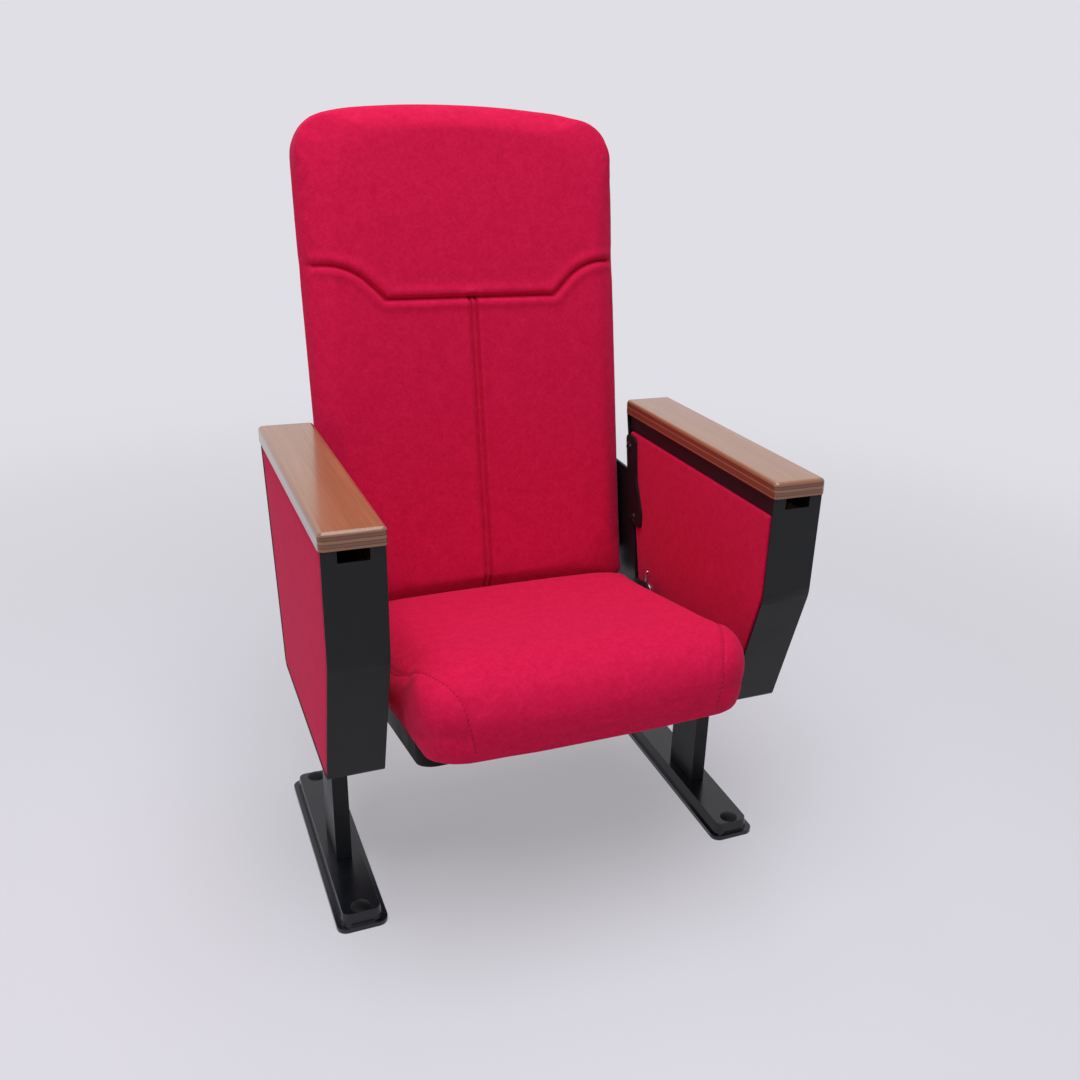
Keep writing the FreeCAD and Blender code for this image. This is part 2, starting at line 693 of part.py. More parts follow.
def standoffs(side, sign):
    """Spacers between the steel and the two panel boards."""
    inner_run = f"({SIDE_INNER} - {INNER_BACK})"
    outer_run = f"({OUTER_BACK} - {POST_OUTER})"
    items = []
    for count, height in enumerate(BOLT_HEIGHTS):
        name = f"standoff_bolt{count}_{side}"
        tube = rod(name + "_body", "standoff", inner_run, WORLD)
        bore = rod(name + "_bore", "bolt_size + 2 * hole_gap", inner_run, WORLD)
        items.append(cut(name, tube, [bore], across(sign, INNER_BACK, bolt_y(height), height)))
    for column, row in (("front", -1), ("rear", 1)):
        y = f"(post_middle + {row} * standoff_pitch / 2)"
        items.append(rod(f"standoff_in_{column}_{side}", "standoff", inner_run,
                         across(sign, INNER_BACK, y, "standoff_low")))
        for level in ("standoff_low", "standoff_high"):
            name = f"{level}_{column}_{side}"
            items.append(rod(name, "standoff", outer_run, across(sign, POST_OUTER, y, level)))
    node(group(f"standoffs_group_{side}", items), f"panel_standoffs_{side}")


def back_bracket(side, sign):
    """Side plate bolted to the arm, with a wing to the back and a flange behind its board."""
    lobe = "bracket_lobe"
    wing_rear = "(back_y + (back_thick + back_board) / cos(back_lean * 1deg))"

    def behind(z):
        return f"({wing_rear} + ({z} - back_z) * tan(back_lean * 1deg))"

    points = [(f"({rear_at('bracket_top')} - {lobe})", "bracket_top"),
              (f"({rear_at('bracket_waist')} - bracket_neck)", "bracket_waist"),
              (f"({rear_at('bolt_lower')} - {lobe} - arm_sheet)", "(bolt_lower + bolt_head)"),
              (f"({rear_at('bracket_low')} - {lobe})", "bracket_low"),
              (f"({rear_at('bracket_low')} - wing_lap)", "bracket_low"),
              (f"({rear_at('wing_floor')} - wing_lap)", "wing_floor"),
              (behind("wing_floor"), "wing_floor"),
              (behind("wing_top"), "wing_top"), (f"({rear_at('wing_top')} + arm_sheet)", "wing_top"),
              (f"({rear_at('bracket_top')} - arm_sheet)", "bracket_top")]
    rounds = [((0, 3, 9), "bracket_round"), ((1, 2), "bracket_lobe")]
    body = plate(f"bracket_pad_{side}", "YZ_Plane", points, "bracket_thick", rounds)
    near = f"({INNER_FACE} - bracket_thick)"
    body.Placement = spot(sided(sign, near, INNER_FACE), "0", "0")
    flange_near = f"({INNER_FACE} - flange_reach)"
    behind_board = spot(sided(sign, flange_near, INNER_FACE), "back_thick + back_board", "flange_floor")
    flange = box(f"bracket_flange_{side}", "flange_reach", "bracket_thick", "flange_top - flange_floor",
                 BACK_FRAME.multiply(behind_board))
    raw = fuse(f"bracket_raw_{side}", [body, flange])
    bores = [rod(f"bracket_bore{count}_{side}", "bolt_size + 2 * hole_gap", "bracket_thick",
                 across(sign, near, bolt_y(height), height)) for count, height in enumerate(BOLT_HEIGHTS)]
    bores += [rod(f"flange_bore{count}_{side}", "screw_size + 2 * hole_gap", "bracket_thick", place)
              for count, place in enumerate(flange_screws(sign, "back_thick + back_board + bracket_thick"))]
    node(cut(f"bracket_cut_{side}", raw, bores), f"back_bracket_{side}")


def flange_screws(sign, depth):
    """Placements of the two screws of a bracket flange, pointing forwards into the board."""
    x = f"{sign} * ({INNER_FACE} - flange_reach + screw_head)"
    rows = ("flange_floor + 2 * screw_head", "flange_top - 2 * screw_head")
    return [BACK_FRAME.multiply(spot(x, depth, row, Rotation(AXIS_X, 90))) for row in rows]


def bracket_bolts(side, sign):
    """Domed bolts that clamp the back bracket through the panel to the side plate, and their nuts."""
    near = f"({INNER_FACE} - bracket_thick)"
    grip = f"(bracket_thick + {POST_INNER} - {INNER_FACE})"
    bolts = []
    nuts = []
    for count, height in enumerate(BOLT_HEIGHTS):
        name = f"bracket_bolt{count}_{side}"
        head = dome(name + "_head", "bolt_head", "bolt_dome", Placement(Vector(), Rotation(AXIS_X, 180)))
        shank = rod(name + "_shank", "bolt_size", f"({grip} + nut_height)", WORLD)
        bolts.append(fuse(name, [head, shank], across(sign, near, bolt_y(height), height)))
        nuts.append(hexagon(f"bracket_nut{count}_{side}", "nut_size", "nut_height",
                            "bolt_size + 2 * fit_gap", across(sign, POST_INNER, bolt_y(height), height)))
    node(group(f"bracket_bolts_group_{side}", bolts), f"bracket_bolts_{side}")
    node(group(f"bracket_nuts_group_{side}", nuts), f"bracket_nuts_{side}")


def hinge_pins(side, sign):
    """Shouldered pivot stud with its nut, and the stop pin that runs in the hinge plate's slot."""
    start = f"({HINGE_INNER} - fit_gap)"
    shoulder = f"({BUSH_OUTER} + weld_gap)"
    place = across(sign, start, "pivot_y", "pivot_z")
    spigot = rod(f"pivot_spigot_{side}", "pivot_pin", f"({POST_INNER} + pivot_nut_height - {start})", WORLD)
    boss = rod(f"pivot_boss_{side}_body", "pivot_boss", f"({SIDE_INNER} - {shoulder})",
               spot("0", "0", f"({shoulder} - {start})"))
    node(fuse(f"pivot_fuse_{side}", [spigot, boss], place), f"pivot_stud_{side}")
    nut = hexagon(f"pivot_nut_{side}_cut", "pivot_nut", "pivot_nut_height", "pivot_pin + 2 * fit_gap",
                  across(sign, POST_INNER, "pivot_y", "pivot_z"))
    node(nut, f"pivot_nut_{side}")
    pin = rod(f"stop_pin_{side}_body", "stop_pin", f"({POST_INNER} - {HINGE_INNER})", WORLD)
    collar = rod(f"stop_collar_{side}", "stop_collar", f"({SIDE_INNER} - {BUSH_OUTER})",
                 spot("0", "0", f"({BUSH_OUTER} - {HINGE_INNER})"))
    stop_place = across(sign, HINGE_INNER, *stop_spot())
    node(fuse(f"stop_fuse_{side}", [pin, collar], stop_place), f"stop_pin_{side}")


def arc_edge(start, tangent, end):
    """Arc that leaves start along tangent and reaches end."""
    chord = end - start
    turn = tangent.getAngle(chord)
    if turn < 1e-7:
        return Part.LineSegment(start, end).toShape()
    bulge = tangent - chord * (tangent.dot(chord) / chord.dot(chord))
    bulge.normalize()
    middle = start + chord * 0.5 + bulge * (chord.Length / 2 * math.tan(turn / 2))
    return Part.Arc(start, middle, end).toShape()


def biarc(start, leave, end, arrive):
    """Two arcs, tangent to each other and to the given unit directions."""
    span = end - start
    both = leave + arrive
    lead = 2 * (1 - leave.dot(arrive))
    reach = span.dot(both)
    if abs(lead) < 1e-9:
        length = span.dot(span) / (4 * span.dot(arrive))
    else:
        length = (-reach + math.sqrt(reach * reach + lead * span.dot(span))) / lead
    joint = (start + leave * length + end - arrive * length) * 0.5
    first = arc_edge(start, leave, joint)
    heading = (end - arrive * length) - joint
    heading.normalize()
    return [first, arc_edge(joint, heading, end)]


def return_spring(side, sign):
    """Torsion spring round the pivot boss: a straight leg under the hinge peg, turns, and a hooked end."""
    wire = num("spring_wire")
    radius = num("spring_mean") / 2
    pitch = num("spring_pitch")
    leg = num("spring_leg")
    hook = num("spring_hook")
    inner = num(f"{BUSH_OUTER} + weld_gap + spring_wire / 2 + hole_gap")
    drift = pitch * (leg - hook) / (2 * math.pi * radius)
    room = num(f"{INNER_FACE} - hole_gap - spring_hook") - inner - drift
    quarters = 4 * math.floor(room / pitch - 0.25) + 1

    def on_coil(quarter):
        angle = math.radians(90 * (quarter - 1))
        x = inner + pitch * quarter / 4
        return Vector(sign * x, radius * math.cos(angle), radius * math.sin(angle))

    def heading(quarter):
        angle = math.radians(90 * (quarter - 1))
        rise = pitch / (2 * math.pi)
        way = Vector(sign * rise, -radius * math.sin(angle), radius * math.cos(angle))
        return way.normalize()

    front = on_coil(0) - heading(0) * leg
    edges = [Part.LineSegment(front, on_coil(0)).toShape()]
    for quarter in range(quarters):
        edges += biarc(on_coil(quarter), heading(quarter), on_coil(quarter + 1), heading(quarter + 1))
    last, way = on_coil(quarters), heading(quarters)
    bend = last + way * (leg - hook)
    outward = AXIS_X * sign
    inside = bend + way * hook + outward * hook
    edges.append(Part.LineSegment(last, bend).toShape())
    edges.append(arc_edge(bend, way, inside))
    tail = num(f"{INNER_FACE} + spring_tail")
    edges.append(Part.LineSegment(inside, Vector(sign * tail, inside.y, inside.z)).toShape())
    path = Part.Wire(edges)
    ring = Part.Wire([Part.Circle(front, path.Edges[0].tangentAt(0), wire / 2).toShape()])
    item = doc.addObject("Part::Feature", f"spring_{side}")
    item.Shape = path.makePipeShell([ring], True, False)
    item.Placement = spot("0", "pivot_y", "pivot_z")
    node(item, f"return_spring_{side}")
    points = [on_coil(step / 6) for step in range(6 * quarters + 1)]
    apart = [a.distanceToPoint(b) for i, a in enumerate(points) for b in points[i + 18:]]
    print(f"spring {side}: least gap between turns {min(apart) - wire:.2f} mm")


def hinge_arm(side, sign):
    """Seat hinge plate with its stop slot, spring peg and the flange screwed under the seat board."""
    low = "(seat_base + bracket_thick)"
    points = [("-hinge_front", f"-{low}"), ("-hinge_front", "-hinge_shoulder"),
              ("-hinge_crown", "hinge_top"), ("hinge_crown", "hinge_top"),
              ("hinge_rear", "-hinge_shoulder"), ("hinge_rear", f"-{low}")]
    body = plate(f"hinge_pad_{side}", "YZ_Plane", points, "hinge_thick", [((1, 2, 3, 4), "hinge_round")])
    body.Placement = spot(sided(sign, HINGE_INNER, HINGE_OUTER), "0", "0")
    near = f"({HINGE_OUTER} - hinge_flange)"
    flange = box(f"hinge_flange_{side}", "hinge_flange", "hinge_front + hinge_rear", "bracket_thick",
                 spot(sided(sign, near, HINGE_OUTER), "-hinge_front", f"-{low}"))
    peg_z = "(-spring_mean / 2 + spring_wire / 2 + peg_size / 2 + slot_gap)"
    turn = Rotation(AXIS_X, num("seat_rake"))
    peg_at = turn.multVec(Vector(0, num("-spring_leg + peg_size / 2"), num(peg_z)))
    peg = rod(f"hinge_peg_{side}", "peg_size", "peg_length",
              Placement(Vector(sign * num(HINGE_OUTER), peg_at.y, peg_at.z), Rotation(AXIS_Y, 90 * sign)))
    raw = fuse(f"hinge_raw_{side}", [body, flange, peg])
    pivot = rod(f"hinge_bore_{side}", "pivot_pin + 2 * bush_wall + 4 * fit_gap", "hinge_thick",
                across(sign, HINGE_INNER, "0", "0"))
    tools = [pivot] + stop_slot(side, sign)
    tools += [rod(f"hinge_screw_bore{count}_{side}", "screw_size + 2 * hole_gap", "bracket_thick", place)
              for count, place in enumerate(hinge_screw_spots(sign))]
    node(cut(f"hinge_cut_{side}", raw, tools, SEAT_FRAME), f"seat_hinge_arm_{side}")


def stop_slot(side, sign):
    """Curved slot round the pivot that the stop pin runs in from end to end."""
    half = "(stop_pin / 2 + slot_gap)"
    start = spot(sided(sign, HINGE_INNER, HINGE_OUTER), "0", "0")
    turn = Rotation(AXIS_X, num("stop_angle")).multiply(Rotation(AXIS_Y, AXIS_Z, AXIS_X, "ZXY"))
    sector = doc.addObject("Part::Cylinder", f"slot_sector_{side}")
    bind(sector, Radius=f"stop_reach + {half}", Height="hinge_thick", Angle="seat_travel")
    core = rod(f"slot_core_{side}", f"2 * (stop_reach - {half})", "hinge_thick", WORLD)
    ring = cut(f"slot_ring_{side}", sector, [core], start.multiply(Placement(Vector(), turn)))
    ends = []
    for count, angle in enumerate(("stop_angle", "(stop_angle + seat_travel)")):
        y = f"stop_reach * cos({angle} * 1deg)"
        z = f"stop_reach * sin({angle} * 1deg)"
        ends.append(rod(f"slot_end{count}_{side}", f"2 * {half}", "hinge_thick",
                        across(sign, HINGE_INNER, y, z)))
    return [ring] + ends


def hinge_screw_spots(sign):
    """Placements of the two screws of a hinge flange, pointing up into the seat board."""
    x = f"{sign} * ({HINGE_OUTER} - hinge_flange + screw_head)"
    z = "-(seat_base + bracket_thick)"
    return [spot(x, y, z) for y in ("(2 * screw_head - hinge_front)", "(hinge_rear - 2 * screw_head)")]


def hinge_bush(side, sign):
    """Flanged nylon bush between the hinge plate and the pivot stud."""
    sleeve = "(pivot_pin + 2 * bush_wall + 2 * fit_gap)"
    body = rod(f"bush_sleeve_{side}", sleeve, "hinge_thick + bush_flange", WORLD)
    rim = rod(f"bush_rim_{side}", f"({sleeve} + 2 * bush_rim)", "bush_flange",
              spot("0", "0", "hinge_thick"))
    bore = rod(f"bush_bore_{side}", "pivot_pin + 2 * fit_gap", "hinge_thick + bush_flange", WORLD)
    place = SEAT_FRAME.multiply(across(sign, HINGE_INNER, "0", "0"))
    raw = fuse(f"bush_raw_{side}", [body, rim])
    node(cut(f"bush_cut_{side}", raw, [bore], place), f"hinge_bush_{side}")


def pad_outline(half, tail, nose, tail_round, nose_round, bow, level):
    """Closed outline of a cushion at one level: straight sides, round corners and a bowed nose edge."""
    big = ((half - nose_round) ** 2 + bow ** 2) / (2 * bow) + nose_round
    hub = nose - big
    reach = math.sqrt((big - nose_round) ** 2 - (half - nose_round) ** 2)
    corner = hub + reach
    lean = math.atan2(reach, half - nose_round)
    side_touch = Vector(half, -corner, level)
    nose_touch = Vector(big * math.cos(lean), -(hub + big * math.sin(lean)), level)
    bulge = Vector(half - nose_round + nose_round * math.cos(lean / 2),
                   -(corner + nose_round * math.sin(lean / 2)), level)
    swing = tail_round * math.sqrt(0.5)
    tail_mid = Vector(half - tail_round + swing, tail - tail_round + swing, level)

    def flip(point):
        return Vector(-point.x, point.y, point.z)

    tail_side = Vector(half, tail - tail_round, level)
    tail_end = Vector(half - tail_round, tail, level)
    return Part.Wire([
        Part.LineSegment(flip(tail_end), tail_end).toShape(),
        Part.Arc(tail_end, tail_mid, tail_side).toShape(),
        Part.LineSegment(tail_side, side_touch).toShape(),
        Part.Arc(side_touch, bulge, nose_touch).toShape(),
        Part.Arc(nose_touch, Vector(0, -nose, level), flip(nose_touch)).toShape(),
        Part.Arc(flip(nose_touch), flip(bulge), flip(side_touch)).toShape(),
        Part.LineSegment(flip(side_touch), flip(tail_side)).toShape(),
        Part.Arc(flip(tail_side), flip(tail_mid), flip(tail_end)).toShape(),
    ])


def pillow(half, tail, nose, tail_round, nose_round, bow, layers):
    """Crowned cushion lofted through outlines.

    layers are (level, side draw-in, nose draw-in) from base to crown.
    """
    wires = []
    for level, inset, nose_inset in layers:
        ease = 1 - inset / half
        wires.append(pad_outline(half - inset, tail - inset, nose - nose_inset, tail_round * ease,
                                 nose_round * ease, bow * ease, level))
    return Part.makeLoft(wires, True, True)


def sewn(name, build, layers, bands):
    """Cushion with its seams pulled in: each band sinks to a skin that lies a seam's depth inside."""
    depth = num("seam_depth")
    base = layers[0][0]
    outer = build(layers)
    skin = build([(max(level - depth, base), inset + depth, nose_inset + depth)
                  for level, inset, nose_inset in layers])
    shape = outer
    for band in bands:
        shape = shape.cut(band.cut(skin))
    item = doc.addObject("Part::Feature", name)
    item.Shape = shape
    return item


def band(first, second, height):
    """Upright prism between two runs of edges that start and end side by side."""
    ends = [Part.LineSegment(first[side].Vertexes[side].Point, second[side].Vertexes[side].Point).toShape()
            for side in (0, -1)]
    wire = Part.Wire(Part.__sortEdges__(first + second + ends))
    return Part.Face(wire).extrude(Vector(0, 0, height))


def seat_cushion():
    """Waterfall-front seat cushion with a gusset seam near each side."""
    top, base = num("seat_top"), -num("seat_base")
    rise = top - base
    side_ease, nose_ease = num("seat_side_ease"), num("seat_nose_ease")
    layers = [(base + rise * part, side_ease * inset, nose_ease * nose_inset)
              for part, inset, nose_inset in SEAT_PROFILE]
    half, tail, nose = num("seat_half"), num("seat_tail"), num("seat_nose")

    def build(chosen):
        return pillow(half, tail, nose, num("seat_tail_round"), num("seat_nose_round"), num("seat_bow"),
                      chosen)

    low = base + rise * SEAT_SEAM_FLOOR
    bands = [gusset_band(sign, half, nose, low, rise) for _, sign in SIDES]
    form = sewn("seat_cushion_form", build, layers, bands)
    pocket = seat_board_block("seat_board_pocket")
    pocket.Placement = spot("0", "0", "-seat_base")
    node(cut("seat_cushion_cut", form, [pocket], SEAT_FRAME), "seat_cushion")


def gusset_band(sign, half, nose, low, rise):
    """Seam band along the seat's side that turns in over the front corner."""
    width = num("seam_width") / 2
    edge = half - num("gusset_seam_edge")
    rear = 2 * num("seat_tail")
    front = num("gusset_seam_front")
    turn = num("gusset_seam_turn")

    def line(shift):
        behind = Vector(sign * (edge + shift), rear, low)
        start = Vector(sign * (edge + shift), turn - nose, low)
        inside = Vector(sign * (front + shift), -nose, low)
        stop = Vector(sign * (front + shift), -nose - turn, low)
        return [Part.LineSegment(behind, start).toShape(), arc_edge(start, -AXIS_Y, inside),
                Part.LineSegment(inside, stop).toShape()]

    return band(line(width), line(-width), 2 * rise)


def seat_board_block(name):
    """Plain block of the seat board's outline, also used for the pocket that takes it."""
    inset = "seat_board_inset"
    points = rectangle(f"(seat_half - {inset})", "-(seat_nose - seat_board_setback)",
                       f"(seat_tail - {inset})")
    rounds = [((0, 1), "seat_nose_round"), ((2, 3), "seat_tail_round")]
    return plate(name, "XY_Plane", points, "seat_board", rounds)


def seat_base():
    """Plywood board under the cushion, the hollow under-pan with its bosses, and the screws."""
    board = seat_board_block("seat_board_pad")
    spots = [(f"{x} * (pan_half - pan_boss_edge)", y) for x in (-1, 1)
             for y in ("(pan_boss_edge - pan_nose)", "-2 * pan_boss_edge")]
    under = "-seat_base"
    pilots = [rod(f"seat_pilot{count}", "screw_size + 2 * fit_gap", "screw_bite + fit_gap", spot(x, y, "0"))
              for count, (x, y) in enumerate(spots)]
    for _, sign in SIDES:
        for place in hinge_screw_spots(sign):
            at = Placement(Vector(place.Base.x, place.Base.y, 0), Rotation())
            pilots.append(rod(f"seat_hinge_pilot{len(pilots)}", "screw_size + 2 * fit_gap",
                              "screw_bite + fit_gap", at))
    node(cut("seat_board_cut", board, pilots, SEAT_FRAME.multiply(spot("0", "0", under))), "seat_board")

    dish = plate("pan_dish", "XY_Plane", rectangle("pan_half", "-pan_nose", "pan_tail"), "pan_depth",
                 [((0, 1, 2, 3), "pan_round")])
    hollow(dish, "pan_wall", lambda face: face.normalAt(0, 0).z > 0.9)
    bosses = [rod(f"pan_boss{count}", "pan_boss", "pan_depth", spot(x, y, "0"))
              for count, (x, y) in enumerate(spots)]
    raw = fuse("pan_raw", [dish] + bosses)
    bores = [rod(f"pan_bore{count}", "screw_size + 2 * hole_gap", "pan_depth", spot(x, y, "0"))
             for count, (x, y) in enumerate(spots)]
    slots = []
    for side, sign in SIDES:
        near, far = "(pan_half - pan_round)", "(pan_half + pan_wall)"
        place = spot(sided(sign, near, far), "-hinge_front - hole_gap",
                     "pan_depth - bracket_thick - hole_gap")
        slots.append(box(f"pan_slot_{side}", "pan_round + pan_wall",
                         "hinge_front + hinge_rear + 2 * hole_gap", "2 * bracket_thick", place))
    pan_place = SEAT_FRAME.multiply(spot("0", "0", f"({under} - pan_depth)"))
    node(cut("pan_cut", raw, bores + slots, pan_place), "seat_pan")

    pan_screws = [screw(f"pan_screw{count}", "screw_size", "pan_depth + screw_bite", "screw_head",
                        "screw_head_height", pan_place.multiply(spot(x, y, "0")))
                  for count, (x, y) in enumerate(spots)]
    node(group("pan_screws_group", pan_screws), "seat_pan_screws")
    hinge_screws = []
    for side, sign in SIDES:
        for count, place in enumerate(hinge_screw_spots(sign)):
            hinge_screws.append(screw(f"hinge_screw{count}_{side}", "screw_size",
                                      "bracket_thick + screw_bite", "screw_head", "screw_head_height",
                                      SEAT_FRAME.multiply(place)))
    node(group("hinge_screws_group", hinge_screws), "hinge_screws")


def back_facing(depth):
    """Frame on the back whose Z points to the sitter and whose -Y runs up the back."""
    turn = Rotation(-AXIS_X, -AXIS_Z, -AXIS_Y, "ZXY")
    return BACK_FRAME.multiply(Placement(Vector(0, num(depth), 0), turn))


def back_cushion():
    """High back cushion with a shouldered head seam and a double centre seam below it."""
    thick = num("back_thick")
    half, height = num("back_half"), num("back_height")
    ease = num("back_ease")
    layers = [(thick * part, ease * inset, ease * inset) for part, inset in BACK_PROFILE]

    def build(chosen):
        return pillow(half, 0.0, height, num("back_foot_round"), num("back_top_round"), num("back_bow"),
                      chosen)

    low = thick * BACK_SEAM_FLOOR
    bands = [head_band(half, low, thick)]
    for _, sign in SIDES:
        middle = sign * num("centre_seam_pitch") / 2
        width = num("centre_seam_width")
        run = num("head_seam_middle")
        bands.append(Part.makeBox(width, run, thick, Vector(middle - width / 2, -run, low)))
    form = sewn("back_cushion_form", build, layers, bands)
    form.Placement = back_facing("back_thick")
    node(form, "back_cushion")


def head_band(half, low, thick):
    """Band of the head seam: level in the middle, rising over a rounded shoulder to each side."""
    width = num("seam_width") / 2
    flat, slope, bend = num("head_seam_flat"), num("head_seam_slope"), num("head_seam_bend")
    middle, edge = num("head_seam_middle"), num("head_seam_side")

    def line(shift):
        knee_level = middle + (edge - middle) * HEAD_SEAM_KNEE
        points = [(half + bend, edge + shift), (flat + slope + bend, edge + shift),
                  (flat + slope, knee_level + shift), (flat, middle + shift)]
        outer, shoulder, knee, inner = [Vector(x, -y, low) for x, y in points]
        round_over = arc_edge(shoulder, (shoulder - outer).normalize(), knee)
        right = [Part.LineSegment(outer, shoulder).toShape(), round_over,
                 Part.LineSegment(knee, inner).toShape()]
        mirror = FreeCAD.Matrix()
        mirror.A11 = -1
        left = [edge_shape.transformGeometry(mirror) for edge_shape in right]
        across_line = Part.LineSegment(inner, Vector(-inner.x, inner.y, low)).toShape()
        return right + [across_line] + left[::-1]

    upper, lower = line(width), line(-width)
    ends = []
    for _, sign in SIDES:
        far = sign * (half + bend)
        above, below = Vector(far, -(edge + width), low), Vector(far, -(edge - width), low)
        ends.append(Part.LineSegment(above, below).toShape())
    wire = Part.Wire(Part.__sortEdges__(upper + lower + ends))
    return Part.Face(wire).extrude(Vector(0, 0, thick))


def back_rear():
    """Plywood back board, the moulded outer shell with its bosses, and their screws."""
    inset = "back_board_inset"
    points = rectangle(f"(back_half - {inset})", inset, f"(back_height - {inset})")
    rounds = [((0, 1), "back_foot_round"), ((2, 3), "back_top_round")]
    board = plate("back_board_pad", "XZ_Plane", points, "back_board", rounds)
    spots = [(f"{x} * shell_boss_half", z) for x in (-1, 1) for z in ("shell_boss_foot", "shell_boss_high")]
    ahead = Rotation(AXIS_X, 90)
    pilots = [rod(f"back_pilot{count}", "screw_size + 2 * fit_gap", "screw_bite + fit_gap",
                  spot(x, "0", z, ahead)) for count, (x, z) in enumerate(spots)]
    rear = "(back_thick + back_board)"
    for _, sign in SIDES:
        for place in flange_screws(sign, rear):
            local = BACK_FRAME.inverse().multiply(place).Base
            at = Placement(Vector(local.x, 0, local.z), ahead)
            pilots.append(rod(f"back_flange_pilot{len(pilots)}", "screw_size + 2 * fit_gap",
                              "screw_bite + fit_gap", at))
    node(cut("back_board_cut", board, pilots, BACK_FRAME.multiply(spot("0", rear, "0"))), "back_board")

    lap = "shell_lap"
    deep = f"(shell_depth + {lap})"
    reach = "(back_half - shell_inset)"
    outline = rectangle(reach, "shell_inset", "(back_height - shell_inset)")
    dish = plate("shell_dish", "XZ_Plane", outline, deep, rounds)
    eased(dish, AXIS_Y, "shell_round")

    def faces_board(face):
        return isinstance(face.Surface, Part.Plane) and face.normalAt(0, 0).y < -0.9

    hollow(dish, "shell_wall", faces_board)
    bosses = [rod(f"shell_boss{count}", "shell_boss", "shell_depth", spot(x, "0", z, ahead))
              for count, (x, z) in enumerate(spots)]
    raw = fuse("shell_raw", [dish] + bosses)
    tools = [rod(f"shell_bore{count}", "screw_size + 2 * hole_gap", "shell_depth", spot(x, "0", z, ahead))
             for count, (x, z) in enumerate(spots)]
    for side, sign in SIDES:
        low = sided(sign, f"({reach} - 2 * shell_wall)", f"({reach} + shell_wall)")
        tools.append(box(f"shell_slot_{side}", "3 * shell_wall", "bracket_thick + 2 * hole_gap",
                         "flange_top - flange_floor + 2 * hole_gap",
                         spot(low, "-shell_depth - hole_gap", "flange_floor - hole_gap")))
    place = BACK_FRAME.multiply(spot("0", f"({rear} + shell_depth)", "0"))
    node(cut("shell_cut", raw, tools, place), "back_shell")

    shell_screws = [screw(f"shell_screw{count}", "screw_size", "shell_depth + screw_bite", "screw_head",
                          "screw_head_height", place.multiply(spot(x, "0", z, ahead)))
                    for count, (x, z) in enumerate(spots)]
    node(group("shell_screws_group", shell_screws), "back_shell_screws")
    flange_fixings = []
    for side, sign in SIDES:
        for count, at in enumerate(flange_screws(sign, f"({rear} + bracket_thick)")):
            flange_fixings.append(screw(f"flange_screw{count}_{side}", "screw_size",
                                        "bracket_thick + screw_bite", "screw_head", "screw_head_height", at))
    node(group("flange_screws_group", flange_fixings), "bracket_flange_screws")


def build_chair():
    """Make every piece of the chair."""
    for side, sign in SIDES:
        foot(side, sign)
        foot_caps(side, sign)
        post(side, sign)
        arm_shell(side, sign)
        arm_panels(side, sign)
        armrest(side, sign)
        side_plate(side, sign)
        standoffs(side, sign)
        back_bracket(side, sign)
        bracket_bolts(side, sign)
        hinge_pins(side, sign)
        return_spring(side, sign)
        hinge_arm(side, sign)
        hinge_bush(side, sign)
    seat_cushion()
    seat_base()
    back_cushion()
    back_rear()
    doc.recompute()


def write_parts():
    """Check every feature and piece, then write one STEP file for each piece."""
    broken = [item.Name for item in doc.Objects if {"Invalid", "Error"} & set(item.State)]
    if broken:
        raise RuntimeError(f"features that did not compute: {broken}")
    for label, item in nodes.items():
        if item.Shape.isNull() or not item.Shape.isValid() or not item.Shape.Solids:
            raise RuntimeError(f"{label} has no valid solid")
    os.makedirs("parts", exist_ok=True)
    for label, item in nodes.items():
        item.Shape.exportStep(os.path.join("parts", f"{label}.step"))
        print(f"{label}: {len(item.Shape.Solids)} solids, {item.Shape.Volume / 1000:.1f} cm3")


build_chair()
write_parts()
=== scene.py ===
import json
import logging
import math
from dataclasses import dataclass, field, replace
from enum import Enum
from typing import Any, Mapping, Sequence

import bmesh
import bpy
import numpy as np
from mathutils import Matrix, Vector
from mathutils.bvhtree import BVHTree
from mathutils.geometry import convex_hull_2d


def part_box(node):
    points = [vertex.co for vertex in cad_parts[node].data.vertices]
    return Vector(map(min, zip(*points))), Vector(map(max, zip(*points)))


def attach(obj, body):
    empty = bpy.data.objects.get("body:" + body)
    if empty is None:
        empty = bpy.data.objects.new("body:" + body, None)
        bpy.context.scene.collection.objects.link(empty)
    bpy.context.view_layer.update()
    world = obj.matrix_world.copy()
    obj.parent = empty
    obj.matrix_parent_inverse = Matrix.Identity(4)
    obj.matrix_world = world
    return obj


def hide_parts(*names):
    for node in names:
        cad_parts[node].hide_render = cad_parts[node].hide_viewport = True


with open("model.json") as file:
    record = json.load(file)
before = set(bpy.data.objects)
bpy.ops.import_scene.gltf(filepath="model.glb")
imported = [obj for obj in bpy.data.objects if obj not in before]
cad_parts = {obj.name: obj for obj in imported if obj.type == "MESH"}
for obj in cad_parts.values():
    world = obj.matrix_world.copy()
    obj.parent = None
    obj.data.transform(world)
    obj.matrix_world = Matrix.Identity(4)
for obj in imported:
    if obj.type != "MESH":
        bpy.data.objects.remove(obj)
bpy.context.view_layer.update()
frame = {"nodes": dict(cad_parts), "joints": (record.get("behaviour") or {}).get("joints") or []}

log = logging.getLogger("auditorium_chair")
MM = 0.001
SIDES = ("left", "right")
# Points of the frame's loose triangles that lie this near are one point.
WELD = 0.01 * MM
# A look down at a pad starts this far above its frame, in metres.
OVERHEAD = 0.5
# Stands in for a length of nothing in a division.
TINY = 1e-9
# On the sides of a pad the normal leans at least this much along X.
SIDEWAYS = 0.85
# Most of a noise pattern lies between these values.
NOISE_LOW, NOISE_HIGH = 0.3, 0.7


class Body(Enum):
    """Moving bodies of the chair."""

    FRAME = "frame"
    SEAT = "seat"


